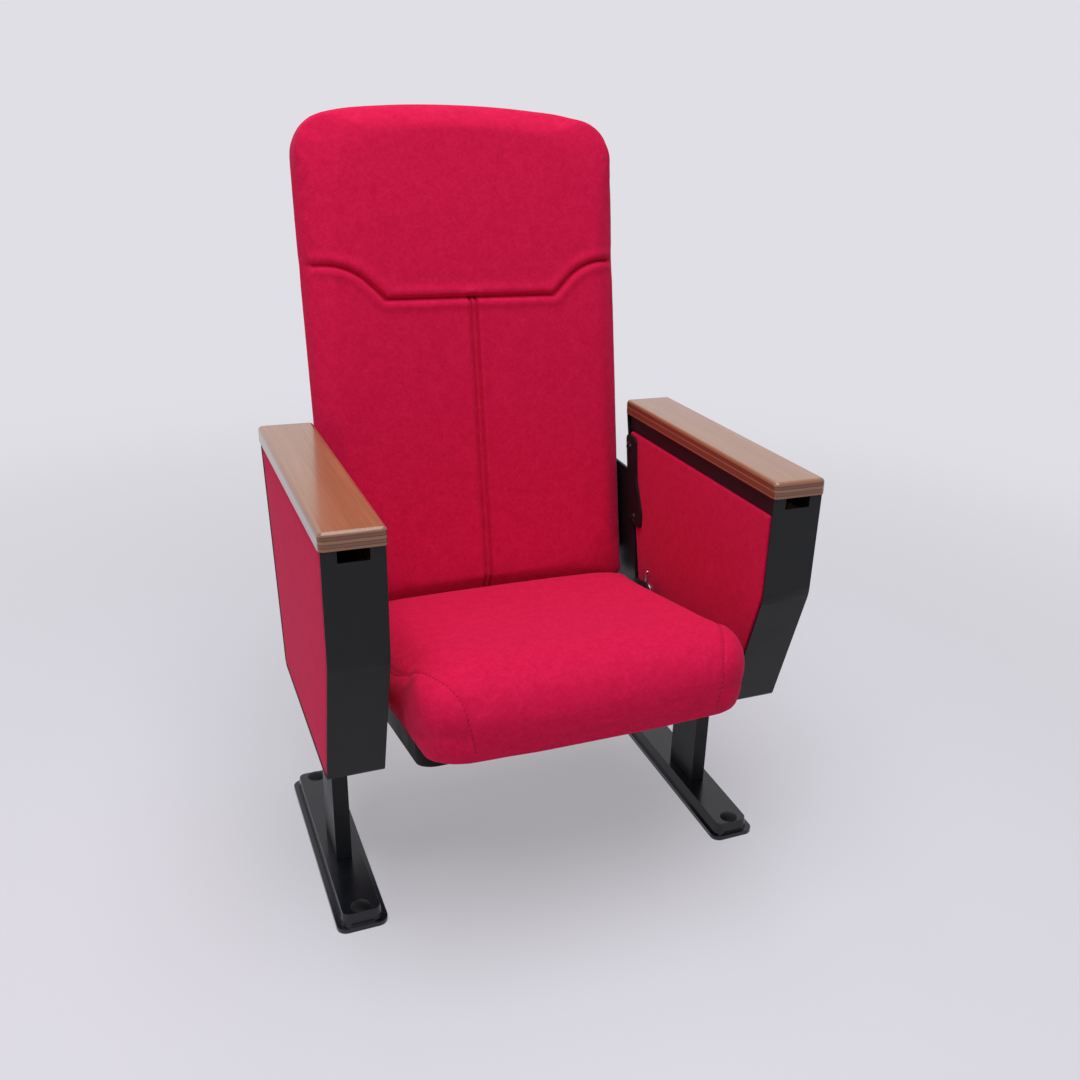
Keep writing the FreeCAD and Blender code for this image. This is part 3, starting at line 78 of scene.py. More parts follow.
class Slot(Enum):
    """Material slots of the record."""

    STEEL = "black_powder_coat"
    FABRIC = "crimson_fabric"
    PLY = "plywood"
    WOOD = "lacquered_wood"
    PLASTIC = "black_plastic"
    ZINC = "zinc_steel"
    NYLON = "nylon"


def linear(code: str) -> tuple[float, float, float, float]:
    """Turns an sRGB hex colour into linear light.

    Args:
        code: Colour as "#RRGGBB".

    Returns:
        Linear red, green and blue, and an alpha of 1.
    """
    parts = [int(code[at:at + 2], 16) / 255 for at in (1, 3, 5)]
    light = [p / 12.92 if p <= 0.04045 else ((p + 0.055) / 1.055) ** 2.4 for p in parts]
    return light[0], light[1], light[2], 1.0


def per_metre(millimetres: float) -> float:
    """Gives the pattern scale at which one cycle is this many millimetres wide."""
    return 1.0 / (millimetres * MM)


def add(tree: bpy.types.NodeTree, kind: str, settings: Mapping[str, Any] | None = None,
        feeds: bpy.types.NodeSocket | None = None, **sockets: Any) -> bpy.types.Node:
    """Adds a node, sets it up and links it.

    Args:
        tree: Node tree that gets the node.
        kind: Blender's type name of the node.
        settings: Properties of the node; "stops" are the places and sRGB colours of a ramp, in rising order.
        feeds: Input that its first output goes to.
        **sockets: Input values or output sockets, by socket name with _ for a space, or i0, i1... by place.

    Returns:
        The new node.
    """
    node = tree.nodes.new(kind)
    for name, value in (settings or {}).items():
        if name != "stops":
            setattr(node, name, value)
            continue
        band = node.color_ramp
        while len(band.elements) < len(value):
            band.elements.new(0.5)
        for element, (place, code) in zip(band.elements, value):
            element.position = place
            element.color = linear(code)
    for name, value in sockets.items():
        by_place = name[0] == "i" and name[1:].isdigit()
        socket = node.inputs[int(name[1:])] if by_place else node.inputs[name.replace("_", " ")]
        if isinstance(value, bpy.types.NodeSocket):
            tree.links.new(value, socket)
        else:
            socket.default_value = value
    if feeds is not None:
        tree.links.new(node.outputs[0], feeds)
    return node


@dataclass(frozen=True)
class Finish:
    """A real material with its surface treatment.

    Attributes:
        name: Plain name of the material and how its surface was made.
        slot: Slot of the record that it belongs to; not used.
        colour: Main sRGB colour.
        roughness: Typical roughness of the surface.
        shine: Strength of the mirrored light, 0.5 for most clean surfaces.
    """

    name: str
    slot: Slot
    colour: str
    roughness: float
    shine: float = 0.5

    def start(self) -> tuple[bpy.types.Material, bpy.types.NodeTree, Any, bpy.types.NodeSocket]:
        """Makes the plain material.

        Returns:
            The material, its tree, its shader's inputs and the piece's own coordinates.
        """
        material = bpy.data.materials.new(self.name)
        material.use_nodes = True
        material.diffuse_color = linear(self.colour)
        tree = material.node_tree
        surface = tree.nodes["Principled BSDF"].inputs
        surface["Base Color"].default_value = linear(self.colour)
        surface["Roughness"].default_value = self.roughness
        surface["Specular IOR Level"].default_value = self.shine
        return material, tree, surface, add(tree, "ShaderNodeTexCoord").outputs["Object"]

    def make(self) -> bpy.types.Material:
        """Builds the material; each finish gives its own surface."""
        raise NotImplementedError


@dataclass(frozen=True)
class CoatedSteel(Finish):
    """Sheet steel under baked paint: an even colour with faint orange peel and softly varied gloss."""

    peel_mm: float = 2.2
    patch_mm: float = 70.0
    relief_mm: float = 0.05
    gloss_spread: float = 0.07
    coat: float = 0.0
    coat_roughness: float = 0.12

    def make(self) -> bpy.types.Material:
        """Builds the paint.

        Returns:
            The material.
        """
        material, tree, surface, place = self.start()
        surface["Coat Weight"].default_value = self.coat
        surface["Coat Roughness"].default_value = self.coat_roughness
        peel = add(tree, "ShaderNodeTexNoise", Vector=place, Scale=per_metre(self.peel_mm), Detail=2.0)
        add(tree, "ShaderNodeBump", feeds=surface["Normal"], Strength=0.35, Distance=self.relief_mm * MM,
            Height=peel.outputs[0])
        patch = add(tree, "ShaderNodeTexNoise", Vector=place, Scale=per_metre(self.patch_mm), Detail=3.0)
        add(tree, "ShaderNodeMapRange", feeds=surface["Roughness"], Value=patch.outputs[0],
            From_Min=NOISE_LOW, From_Max=NOISE_HIGH,
            To_Min=self.roughness - self.gloss_spread, To_Max=self.roughness + self.gloss_spread)
        return material


@dataclass(frozen=True)
class WovenFabric(Finish):
    """Plain-weave polyester upholstery: a soft pile of crossed yarns with a mottled dye and a pale sheen.

    The real yarns are about 0.8 mm apart, too fine to show; they are drawn 2.6 mm apart.
    """

    shine: float = 0.06
    light: str = "#FFFFFF"
    dark: str = "#000000"
    yarn_mm: float = 2.6
    relief_mm: float = 0.35
    mottle_mm: float = 16.0
    fleck_share: float = 0.45
    mottle_share: float = 0.40
    yarn_share: float = 0.15
    fuzz_share: float = 0.7
    sheen: float = 0.10
    sheen_roughness: float = 0.45
    sheen_colour: str = "#FFA3CF"

    def weave(self, tree: bpy.types.NodeTree, place: bpy.types.NodeSocket,
              normal: bpy.types.NodeSocket) -> bpy.types.NodeSocket:
        """Draws crossed yarns on all three planes and blends them by the way the surface faces.

        Args:
            tree: Node tree of the material.
            place: Coordinates on the piece.
            normal: Normal in the same frame.

        Returns:
            Height of the yarns from 0 to 1.
        """
        turn = math.tau * per_metre(2 * self.yarn_mm)
        angles = add(tree, "ShaderNodeVectorMath", {"operation": "SCALE"}, i0=place, Scale=turn)
        waves = add(tree, "ShaderNodeVectorMath", {"operation": "SINE"}, i0=angles.outputs[0])
        split = add(tree, "ShaderNodeSeparateXYZ", Vector=waves.outputs[0])
        facing = add(tree, "ShaderNodeVectorMath", {"operation": "MULTIPLY"}, i0=normal, i1=normal)
        weights = add(tree, "ShaderNodeSeparateXYZ", Vector=facing.outputs[0])
        total: Any = 0.0
        for axis, (first, second) in enumerate(((1, 2), (0, 2), (0, 1))):
            cross = add(tree, "ShaderNodeMath", {"operation": "MULTIPLY"},
                        i0=split.outputs[first], i1=split.outputs[second])
            total = add(tree, "ShaderNodeMath", {"operation": "MULTIPLY_ADD"},
                        i0=cross.outputs[0], i1=weights.outputs[axis], i2=total).outputs[0]
        return add(tree, "ShaderNodeMath", {"operation": "MULTIPLY_ADD"}, i0=total, i1=0.5, i2=0.5).outputs[0]

    def make(self) -> bpy.types.Material:
        """Builds the cloth.

        Returns:
            The material.
        """
        material, tree, surface, place = self.start()
        yarns = self.weave(tree, place, add(tree, "ShaderNodeTexCoord").outputs["Normal"])
        fleck = add(tree, "ShaderNodeTexNoise", Vector=place, Scale=per_metre(2 * self.yarn_mm), Detail=3.0)
        mottle = add(tree, "ShaderNodeTexNoise", Vector=place, Scale=per_metre(self.mottle_mm), Detail=5.0,
                     Roughness=0.62)
        tone: Any = 0.0
        for pattern, share in ((fleck.outputs[0], self.fleck_share), (mottle.outputs[0], self.mottle_share),
                               (yarns, self.yarn_share)):
            tone = add(tree, "ShaderNodeMath", {"operation": "MULTIPLY_ADD"}, i0=pattern, i1=share,
                       i2=tone).outputs[0]
        dye = ((NOISE_LOW, self.dark), (0.5, self.colour), (NOISE_HIGH, self.light))
        add(tree, "ShaderNodeValToRGB", {"stops": dye}, surface["Base Color"], Fac=tone)
        surface["Sheen Weight"].default_value = self.sheen
        surface["Sheen Roughness"].default_value = self.sheen_roughness
        surface["Sheen Tint"].default_value = linear(self.sheen_colour)
        fuzz = add(tree, "ShaderNodeTexNoise", Vector=place, Scale=per_metre(self.yarn_mm), Detail=4.0)
        height = add(tree, "ShaderNodeMath", {"operation": "MULTIPLY_ADD"}, i0=fuzz.outputs[0],
                     i1=self.fuzz_share, i2=yarns)
        add(tree, "ShaderNodeBump", feeds=surface["Normal"], Strength=0.35, Distance=self.relief_mm * MM,
            Height=height.outputs[0])
        return material


@dataclass(frozen=True)
class LaminatedWood(Finish):
    """Stained beech plies glued flat and lacquered: long grain on top, pale and dark plies on the edges.

    The real glue lines are about 0.1 mm thick, too fine to show; they are drawn about 1 mm thick.
    """

    shine: float = 0.2
    dark: str = "#000000"
    light: str = "#FFFFFF"
    plies: tuple[str, ...] = ("#000000",)
    glue: str = "#000000"
    thick_mm: float = 22.0
    ply_between_glue: tuple[float, float] = (0.16, 0.86)
    wander_mm: float = 1.2
    grain_mm: float = 3.0
    grain_run_mm: float = 150.0
    figure_scale: float = 0.16
    fibre_share: float = 0.6
    lacquer: float = 0.9
    lacquer_roughness: float = 0.15
    relief_mm: float = 0.15
    edge_to_top: tuple[float, float] = (0.62, 0.9)
    tilt_degrees: float = 0.0
    top: tuple[float, float, float] = (0.0, 0.0, 0.0)

    def grain(self, tree: bpy.types.NodeTree, flat: bpy.types.NodeSocket) -> tuple[Any, Any]:
        """Draws the fibres along the cap.

        Args:
            tree: Node tree of the material.
            flat: Coordinates that lie along the cap's slope.

        Returns:
            Outputs of the fine fibres and of the broad figure.
        """
        stretch = add(tree, "ShaderNodeVectorMath", {"operation": "MULTIPLY"}, i0=flat,
                      i1=(per_metre(self.grain_mm), per_metre(self.grain_run_mm), per_metre(self.grain_mm)))
        fibres = add(tree, "ShaderNodeTexNoise", Vector=stretch.outputs[0], Scale=1.0, Detail=6.0,
                     Roughness=0.65, Distortion=0.4)
        broad = add(tree, "ShaderNodeVectorMath", {"operation": "SCALE"}, i0=stretch.outputs[0],
                    Scale=self.figure_scale)
        cloud = add(tree, "ShaderNodeTexNoise", Vector=broad.outputs[0], Scale=1.0, Detail=3.0)
        return fibres.outputs[0], cloud.outputs[0]

    def edges(self, tree: bpy.types.NodeTree, flat: bpy.types.NodeSocket,
              cloud: bpy.types.NodeSocket) -> bpy.types.NodeSocket:
        """Colours the plies that show on the cap's sides.

        Args:
            tree: Node tree of the material.
            flat: Coordinates that lie along the cap's slope, with their origin on its top.
            cloud: Broad figure, by which the glue lines wander.

        Returns:
            Colour by height.
        """
        level = add(tree, "ShaderNodeSeparateXYZ", Vector=flat).outputs["Z"]
        wander = add(tree, "ShaderNodeMath", {"operation": "MULTIPLY_ADD"}, i0=cloud, i1=self.wander_mm * MM,
                     i2=level)
        share = add(tree, "ShaderNodeMapRange", Value=wander.outputs[0], From_Min=-self.thick_mm * MM,
                    From_Max=0.0)
        count = len(self.plies)
        first, last = self.ply_between_glue
        stops: list[tuple[float, str]] = []
        for at, ply in enumerate(self.plies):
            stops += [((at + first) / count, ply), ((at + last) / count, ply), ((at + 1) / count, self.glue)]
        return add(tree, "ShaderNodeValToRGB", {"stops": stops[:-1]}, Fac=share.outputs[0]).outputs[0]

    def make(self) -> bpy.types.Material:
        """Builds the wood.

        Returns:
            The material.
        """
        material, tree, surface, place = self.start()
        flat = add(tree, "ShaderNodeMapping", {"vector_type": "TEXTURE"}, Vector=place, Location=self.top,
                   Rotation=(math.radians(self.tilt_degrees), 0.0, 0.0)).outputs[0]
        fibres, cloud = self.grain(tree, flat)
        fine = add(tree, "ShaderNodeMath", {"operation": "MULTIPLY"}, i0=fibres, i1=self.fibre_share)
        figure = add(tree, "ShaderNodeMath", {"operation": "MULTIPLY_ADD"}, i0=cloud, i1=1 - self.fibre_share,
                     i2=fine.outputs[0])
        stain = ((0.34, self.dark), (0.52, self.colour), (0.68, self.light))
        face = add(tree, "ShaderNodeValToRGB", {"stops": stain}, Fac=figure.outputs[0])
        normal = add(tree, "ShaderNodeTexCoord").outputs["Normal"]
        upright = add(tree, "ShaderNodeSeparateXYZ", Vector=normal).outputs["Z"]
        side = add(tree, "ShaderNodeMapRange", {"interpolation_type": "SMOOTHSTEP"}, Value=upright,
                   From_Min=self.edge_to_top[0], From_Max=self.edge_to_top[1], To_Min=1.0, To_Max=0.0)
        both = add(tree, "ShaderNodeMix", {"data_type": "RGBA"}, i0=side.outputs[0], i6=face.outputs[0],
                   i7=self.edges(tree, flat, cloud))
        tree.links.new(both.outputs[2], surface["Base Color"])
        surface["Coat Weight"].default_value = self.lacquer
        surface["Coat Roughness"].default_value = self.lacquer_roughness
        add(tree, "ShaderNodeBump", feeds=surface["Normal"], Strength=0.2, Distance=self.relief_mm * MM,
            Height=fibres)
        return material


@dataclass(frozen=True)
class RawPlywood(Finish):
    """Unfinished birch plywood: pale, dry, with straight fibres."""

    dark: str = "#000000"
    grain_mm: float = 2.5
    grain_run_mm: float = 90.0
    relief_mm: float = 0.2

    def make(self) -> bpy.types.Material:
        """Builds the wood.

        Returns:
            The material.
        """
        material, tree, surface, place = self.start()
        stretch = add(tree, "ShaderNodeVectorMath", {"operation": "MULTIPLY"}, i0=place,
                      i1=(per_metre(self.grain_run_mm), per_metre(self.grain_mm), per_metre(self.grain_mm)))
        fibres = add(tree, "ShaderNodeTexNoise", Vector=stretch.outputs[0], Scale=1.0, Detail=5.0).outputs[0]
        add(tree, "ShaderNodeValToRGB", {"stops": ((NOISE_LOW, self.dark), (0.65, self.colour))},
            surface["Base Color"], Fac=fibres)
        add(tree, "ShaderNodeBump", feeds=surface["Normal"], Strength=0.3, Distance=self.relief_mm * MM,
            Height=fibres)
        return material


@dataclass(frozen=True)
class MouldedPlastic(Finish):
    """Injection-moulded polypropylene with a spark-eroded grain: dull black with a broad, faint gloss."""

    shine: float = 0.14
    ior: float = 1.49
    grain_mm: float = 1.6
    relief_mm: float = 0.12
    wear_mm: float = 60.0
    gloss_change: tuple[float, float] = (-0.06, 0.08)

    def make(self) -> bpy.types.Material:
        """Builds the plastic.

        Returns:
            The material.
        """
        material, tree, surface, place = self.start()
        surface["IOR"].default_value = self.ior
        grain = add(tree, "ShaderNodeTexVoronoi", {"feature": "SMOOTH_F1"}, Vector=place,
                    Scale=per_metre(self.grain_mm))
        add(tree, "ShaderNodeBump", feeds=surface["Normal"], Strength=0.4, Distance=self.relief_mm * MM,
            Height=grain.outputs[0])
        wear = add(tree, "ShaderNodeTexNoise", Vector=place, Scale=per_metre(self.wear_mm), Detail=4.0)
        polished, dull = self.gloss_change
        add(tree, "ShaderNodeMapRange", feeds=surface["Roughness"], Value=wear.outputs[0], From_Min=NOISE_LOW,
            From_Max=NOISE_HIGH, To_Min=self.roughness + polished, To_Max=self.roughness + dull)
        return material


@dataclass(frozen=True)
class ZincPlate(Finish):
    """Bright zinc-plated steel: a cool silver with cloudy passivation."""

    cloud: str = "#000000"
    cloud_mm: float = 5.0
    gloss_change: tuple[float, float] = (0.1, -0.05)

    def make(self) -> bpy.types.Material:
        """Builds the plating.

        Returns:
            The material.
        """
        material, tree, surface, place = self.start()
        surface["Metallic"].default_value = 1.0
        clouds = add(tree, "ShaderNodeTexNoise", Vector=place, Scale=per_metre(self.cloud_mm),
                     Detail=4.0).outputs[0]
        add(tree, "ShaderNodeValToRGB", {"stops": ((0.35, self.cloud), (0.6, self.colour))},
            surface["Base Color"], Fac=clouds)
        dull, polished = self.gloss_change
        add(tree, "ShaderNodeMapRange", feeds=surface["Roughness"], Value=clouds, From_Min=NOISE_LOW,
            From_Max=NOISE_HIGH, To_Min=self.roughness + dull, To_Max=self.roughness + polished)
        return material


@dataclass(frozen=True)
class Nylon(Finish):
    """Natural nylon: milky, slightly waxy, with a faint flow mark."""

    flow_mm: float = 4.0
    relief_mm: float = 0.1
    milk: float = 0.15
    milk_depth_mm: float = 2.0

    def make(self) -> bpy.types.Material:
        """Builds the plastic.

        Returns:
            The material.
        """
        material, tree, surface, place = self.start()
        surface["Subsurface Weight"].default_value = self.milk
        surface["Subsurface Scale"].default_value = self.milk_depth_mm * MM
        flow = add(tree, "ShaderNodeTexNoise", Vector=place, Scale=per_metre(self.flow_mm), Detail=2.0)
        add(tree, "ShaderNodeBump", feeds=surface["Normal"], Strength=0.15, Distance=self.relief_mm * MM,
            Height=flow.outputs[0])
        return material


@dataclass(frozen=True)
class Thread(Finish):
    """Twisted polyester sewing thread: two plies that wind round each other, matt beside the cloth."""

    shine: float = 0.2
    ply_mm: float = 0.9
    relief_mm: float = 0.2

    def make(self) -> bpy.types.Material:
        """Builds the thread.

        Returns:
            The material.
        """
        material, tree, surface, place = self.start()
        twist = add(tree, "ShaderNodeTexNoise", Vector=place, Scale=per_metre(self.ply_mm), Detail=1.0)
        add(tree, "ShaderNodeBump", feeds=surface["Normal"], Strength=0.4, Distance=self.relief_mm * MM,
            Height=twist.outputs[0])
        return material


# Powder coat baked on sheet steel: satin black that blurs what it mirrors.
POWDER_COAT = CoatedSteel("steel_satin_powder_coat", Slot.STEEL, "#17191C", 0.42, shine=0.24)
# Enamel sprayed on the feet: near black, with clear highlights along the edges.
FOOT_ENAMEL = CoatedSteel("steel_gloss_enamel", Slot.STEEL, "#0D1017", 0.24, shine=0.4, peel_mm=4.0, coat=0.3)
# Woven and piece-dyed polyester: an even crimson, paler where it is seen at a low angle.
UPHOLSTERY = WovenFabric("polyester_plain_weave", Slot.FABRIC, "#D01746", 0.85, light="#DA1F4F",
                         dark="#C3123E")
# Twisted polyester: a thin line a shade darker than the cloth.
SEAM_THREAD = Thread("polyester_thread", Slot.FABRIC, "#8E0D2C", 0.8)
# Glued, stained and lacquered beech: a warm brown face with a gloss, and striped edges.
CAP_WOOD = LaminatedWood("beech_laminate_walnut_lacquer", Slot.WOOD, "#956642", 0.34, dark="#875A38",
                         light="#A3724D", plies=("#8E5F44", "#7B4C36", "#96664A", "#774731", "#8A5A40"),
                         glue="#3A1D13")
# Sawn birch plywood without a finish: pale, dry and matt.
PLYWOOD = RawPlywood("birch_plywood_raw", Slot.PLY, "#D3B389", 0.7, dark="#B08C60")
# Polypropylene from a grained mould: deep black without a sharp highlight.
SHELL_PLASTIC = MouldedPlastic("polypropylene_moulded", Slot.PLASTIC, "#101113", 0.5)
# Zinc-plated steel: small bright heads and pins.
ZINC = ZincPlate("steel_bright_zinc", Slot.ZINC, "#D9DADB", 0.24, cloud="#B4B6BA")
# Black oxide on turned steel: nearly black heads with one small highlight each.
BOLT_OXIDE = CoatedSteel("steel_black_oxide", Slot.STEEL, "#0B0C0E", 0.26)
# Nylon in its own colour: a milky ring round the pivot.
BUSH_NYLON = Nylon("nylon_natural", Slot.NYLON, "#DAD6CB", 0.45)


class Finishes:
    """Materials made once and handed out by finish."""

    def __init__(self) -> None:
        """Starts with no material made."""
        self.made: dict[Finish, bpy.types.Material] = {}

    def get(self, finish: Finish) -> bpy.types.Material:
        """Gives the material of a finish, made on first use."""
        if finish not in self.made:
            self.made[finish] = finish.make()
        return self.made[finish]


FINISHES = Finishes()


def dress(piece: bpy.types.Object, finish: Finish) -> bpy.types.Object:
    """Gives a piece one finish all over.

    Args:
        piece: Mesh object to dress.
        finish: Finish that it gets.

    Returns:
        The same piece.
    """
    material = FINISHES.get(finish)
    slots = piece.data.materials
    if len(slots) == 0:
        slots.append(material)
    for place in range(len(slots)):
        slots[place] = material
    return piece


def new_piece(name: str, mesh: bpy.types.Mesh) -> bpy.types.Object:
    """Puts a mesh into the scene as a piece at the origin."""
    piece = bpy.data.objects.new(name, mesh)
    bpy.context.scene.collection.objects.link(piece)
    return piece


def settle(piece: bpy.types.Object, body: Body, finish: Finish, *nodes: str) -> bpy.types.Object:
    """Hands a finished piece to the frame.

    Args:
        piece: Piece at the origin with its place in its mesh.
        body: Body that it moves with.
        finish: Finish that it wears; not used.
        *nodes: Nodes of the frame that it stands for.

    Returns:
        The same piece.
    """
    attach(piece, body.value)
    if nodes:
        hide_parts(*nodes)
    log.info("%s rides on %s", piece.name, body.value)
    return piece


def points_of(mesh: bpy.types.Mesh) -> np.ndarray:
    """Gives a mesh's points as rows."""
    flat = np.empty(len(mesh.vertices) * 3)
    mesh.vertices.foreach_get("co", flat)
    return flat.reshape(-1, 3)


def normals_of(mesh: bpy.types.Mesh) -> np.ndarray:
    """Gives a mesh's point normals as rows."""
    flat = np.empty(len(mesh.vertices) * 3)
    mesh.vertex_normals.foreach_get("vector", flat)
    return flat.reshape(-1, 3)


def set_points(mesh: bpy.types.Mesh, points: np.ndarray) -> None:
    """Moves a mesh's points to the given rows."""
    mesh.vertices.foreach_set("co", np.ascontiguousarray(points).reshape(-1))
    mesh.update()


def baked(piece: bpy.types.Object) -> bpy.types.Mesh:
    """Gives the plain mesh that a piece's modifiers make."""
    graph = bpy.context.evaluated_depsgraph_get()
    return bpy.data.meshes.new_from_object(piece.evaluated_get(graph))


def apply_modifiers(piece: bpy.types.Object) -> None:
    """Turns a piece's modifiers into its own mesh."""
    mesh = baked(piece)
    piece.modifiers.clear()
    old = piece.data
    piece.data = mesh
    bpy.data.meshes.remove(old)


def round_off(piece: bpy.types.Object) -> None:
    """Subdivides a piece's mesh once into a rounder one."""
    rounding = piece.modifiers.new("rounding", "SUBSURF")
    rounding.levels = 1
    rounding.render_levels = 1
    apply_modifiers(piece)


def weld(solid: bpy.types.Object) -> None:
    """Joins the loose triangles of one of the frame's solids where they meet."""
    modifier = solid.modifiers.new("weld", "WELD")
    modifier.merge_threshold = WELD


@dataclass(frozen=True)
class Place:
    """A frame that leans about X, as the seat and the back do.

    Attributes:
        origin: Its origin, in metres.
        lean: Rotation about X, in degrees.
    """

    origin: Vector
    lean: float

    @property
    def turn(self) -> np.ndarray:
        """Rotation from this frame to the chair's."""
        return np.array(Matrix.Rotation(math.radians(self.lean), 3, "X"))

    def inside(self, points: np.ndarray) -> np.ndarray:
        """Gives points of the chair in this frame."""
        return (points - np.array(self.origin)) @ self.turn

    def outside(self, points: np.ndarray) -> np.ndarray:
        """Gives points of this frame in the chair's."""
        return points @ self.turn.T + np.array(self.origin)


@dataclass(frozen=True)
class Seam:
    """A sewn line that draws the cover down into the foam.

    Attributes:
        path: Points of the line in the pad's plan, in metres.
        depth: How deep the line lies, in metres.
        width: Half width of the crease, in metres.
        puff: Height of the swell on both sides, in metres.
        on_face: True where the line ends as the cover turns away to the pad's sides.
        puff_at: Distance of the swell's crest from the line, in widths.
        puff_width: Half width of the swell, in widths.
    """

    path: np.ndarray
    depth: float
    width: float
    puff: float
    on_face: bool = False
    puff_at: float = 3.2
    puff_width: float = 2.0

    def distance(self, plan: np.ndarray) -> np.ndarray:
        """Measures how far points of the plan lie from the line.

        Args:
            plan: Rows of two coordinates.

        Returns:
            One distance for each row.
        """
        best = np.full(len(plan), np.inf)
        for start, end in zip(self.path[:-1], self.path[1:]):
            along = end - start
            reach = np.clip((plan - start) @ along / (along @ along), 0, 1)
            best = np.minimum(best, np.linalg.norm(plan - start - reach[:, None] * along, axis=1))
        return best

    def sink(self, distance: np.ndarray) -> np.ndarray:
        """Gives how far the cover moves along its normal at each distance from the line."""
        crease = -self.depth * np.exp(-(distance / self.width) ** 2)
        off_crest = distance - self.puff_at * self.width
        swell = self.puff * np.exp(-(off_crest / (self.puff_width * self.width)) ** 2)
        return crease + swell


@dataclass
class Cushion:
    """A foam pad with a sewn cover, swollen by a cloth simulation from the frame's own solid.

    Attributes:
        name: Name of the piece.
        node: Node of the frame that it stands for.
        body: Body that it moves with.
        place: Frame of the pad.
        plan: Axes of the pad's frame that make its plan.
        rise: Axis of the pad's frame that its crown rises along.
        upward: Sign of that axis towards the sitter.
        floor: Level along rise, times upward, under which the cover is fixed.
        fill: How tight the pad is; not used.
        seams: Its sewn lines.
        grooves: Grooves of the frame's solid that the cover bridges, where they aren't the seams.
        hem: How far the cover is pulled down past the foam, in metres.
        hem_height: Height under the floor over which the hem comes down, in metres.
        fade: Height over the floor within which the seams fade out, in metres.
        turned: How squarely the cover faces the sitter where a seam on the face begins and is full.
        voxel: Size of the skin's even mesh, in metres.
        softening: Rounds of smoothing of that mesh.
        start_inset: Depth of the skin under the solid before it swells, in metres.
        cap: Most that a point may swell, in metres.
        pressure: Pressure under the cover in the simulation.
        cover_mass: Mass of the cover in the simulation.
        frames: Frames of the simulation.
        reaches: Distances from a seam within which the mesh is halved, one after the other, in metres.
        piece: The finished pad.
    """

    name: str
    node: str
    body: Body
    place: Place
    plan: tuple[int, int]
    rise: int
    upward: int
    floor: float
    fill: float
    seams: list[Seam] = field(default_factory=list)
    grooves: list[Seam] = field(default_factory=list)
    hem: float = 0.0
    hem_height: float = 8 * MM
    fade: float = 10 * MM
    turned: tuple[float, float] = (0.45, 0.85)
    voxel: float = 6 * MM
    softening: int = 6
    start_inset: float = 5 * MM
    cap: float = 9 * MM
    pressure: float = 4.0
    cover_mass: float = 2.0
    frames: int = 20
    reaches: tuple[float, float] = (16 * MM, 9.6 * MM)
    piece: bpy.types.Object | None = None

    def block(self) -> bpy.types.Object:
        """Copies the frame's solid as one closed, evenly meshed skin.

        Returns:
            The piece, a little smaller than the solid.
        """
        mesh = frame["nodes"][self.node].data.copy()
        mesh.name = self.name
        mesh.materials.clear()
        welded = bmesh.new()
        welded.from_mesh(mesh)
        bmesh.ops.remove_doubles(welded, verts=welded.verts, dist=WELD)
        welded.to_mesh(mesh)
        solid = BVHTree.FromBMesh(welded)
        welded.free()
        piece = new_piece(self.name, mesh)
        remesh = piece.modifiers.new("even_skin", "REMESH")
        remesh.mode = "VOXEL"
        remesh.voxel_size = self.voxel
        soften = piece.modifiers.new("soften", "SMOOTH")
        soften.factor = 0.5
        soften.iterations = self.softening
        apply_modifiers(piece)
        self.draw_in(piece, solid)
        return piece

    def draw_in(self, piece: bpy.types.Object, solid: BVHTree) -> None:
        """Lays the skin at an even depth under the solid's surface, bridging the seams' narrow grooves.

        Args:
            piece: The pad's skin.
            solid: Surface of the frame's solid.
        """
        points = points_of(piece.data)
        normals = normals_of(piece.data)
        depth = self.start_inset * np.clip((self.level(points) - self.floor) / (3 * self.voxel), 0, 1)
        clear = self.plan_distance(points, self.grooves or self.seams) > 2 * self.voxel
        for index, (point, free) in enumerate(zip(points.copy(), clear)):
            if free:
                points[index], normals[index] = solid.find_nearest(point)[:2]
        set_points(piece.data, points - normals * depth[:, None])

    def level(self, points: np.ndarray) -> np.ndarray:
        """Gives the level of points along the crown's way."""
        return self.place.inside(points)[:, self.rise] * self.upward

    def swell(self, piece: bpy.types.Object) -> None:
        """Blows the cover up over the foam and keeps each point within the cap.

        Args:
            piece: The pad's skin.
        """
        before = points_of(piece.data)
        held = piece.vertex_groups.new(name="held")
        low = np.flatnonzero(self.level(before) < self.floor)
        held.add(low.tolist(), 1.0, "REPLACE")
        cloth = piece.modifiers.new("cover", "CLOTH")
        cloth.settings.quality = 5
        cloth.settings.mass = self.cover_mass
        cloth.settings.use_pressure = True
        cloth.settings.uniform_pressure_force = self.pressure
        cloth.settings.vertex_group_mass = held.name
        cloth.settings.effector_weights.gravity = 0.0
        cloth.collision_settings.use_collision = False
        cloth.point_cache.frame_start = 1
        cloth.point_cache.frame_end = self.frames
        scene = bpy.context.scene
        for count in range(1, self.frames + 1):
            scene.frame_set(count)
        blown = baked(piece)
        move = points_of(blown) - before
        far = np.linalg.norm(move, axis=1)
        share = np.minimum(1.0, self.cap / np.maximum(far, TINY))
        log.info("%s swelled by %.1f mm, %.1f mm at most", self.name, np.median(far) / MM, far.max() / MM)
        piece.modifiers.clear()
        piece.vertex_groups.clear()
        set_points(piece.data, before + move * share[:, None])
        bpy.data.meshes.remove(blown)
        scene.frame_set(1)

    def refine(self, piece: bpy.types.Object) -> None:
        """Rounds the skin once and meshes it finely along the seams.

        Args:
            piece: The pad's skin.
        """
        round_off(piece)
        for reach in self.reaches:
            near = self.seam_distance(points_of(piece.data), normals_of(piece.data)) < reach
            work = bmesh.new()
            work.from_mesh(piece.data)
            work.verts.ensure_lookup_table()
            edges = [e for e in work.edges if near[e.verts[0].index] and near[e.verts[1].index]]
            bmesh.ops.subdivide_edges(work, edges=edges, cuts=1, use_grid_fill=True, smooth=0.0)
            work.to_mesh(piece.data)
            work.free()

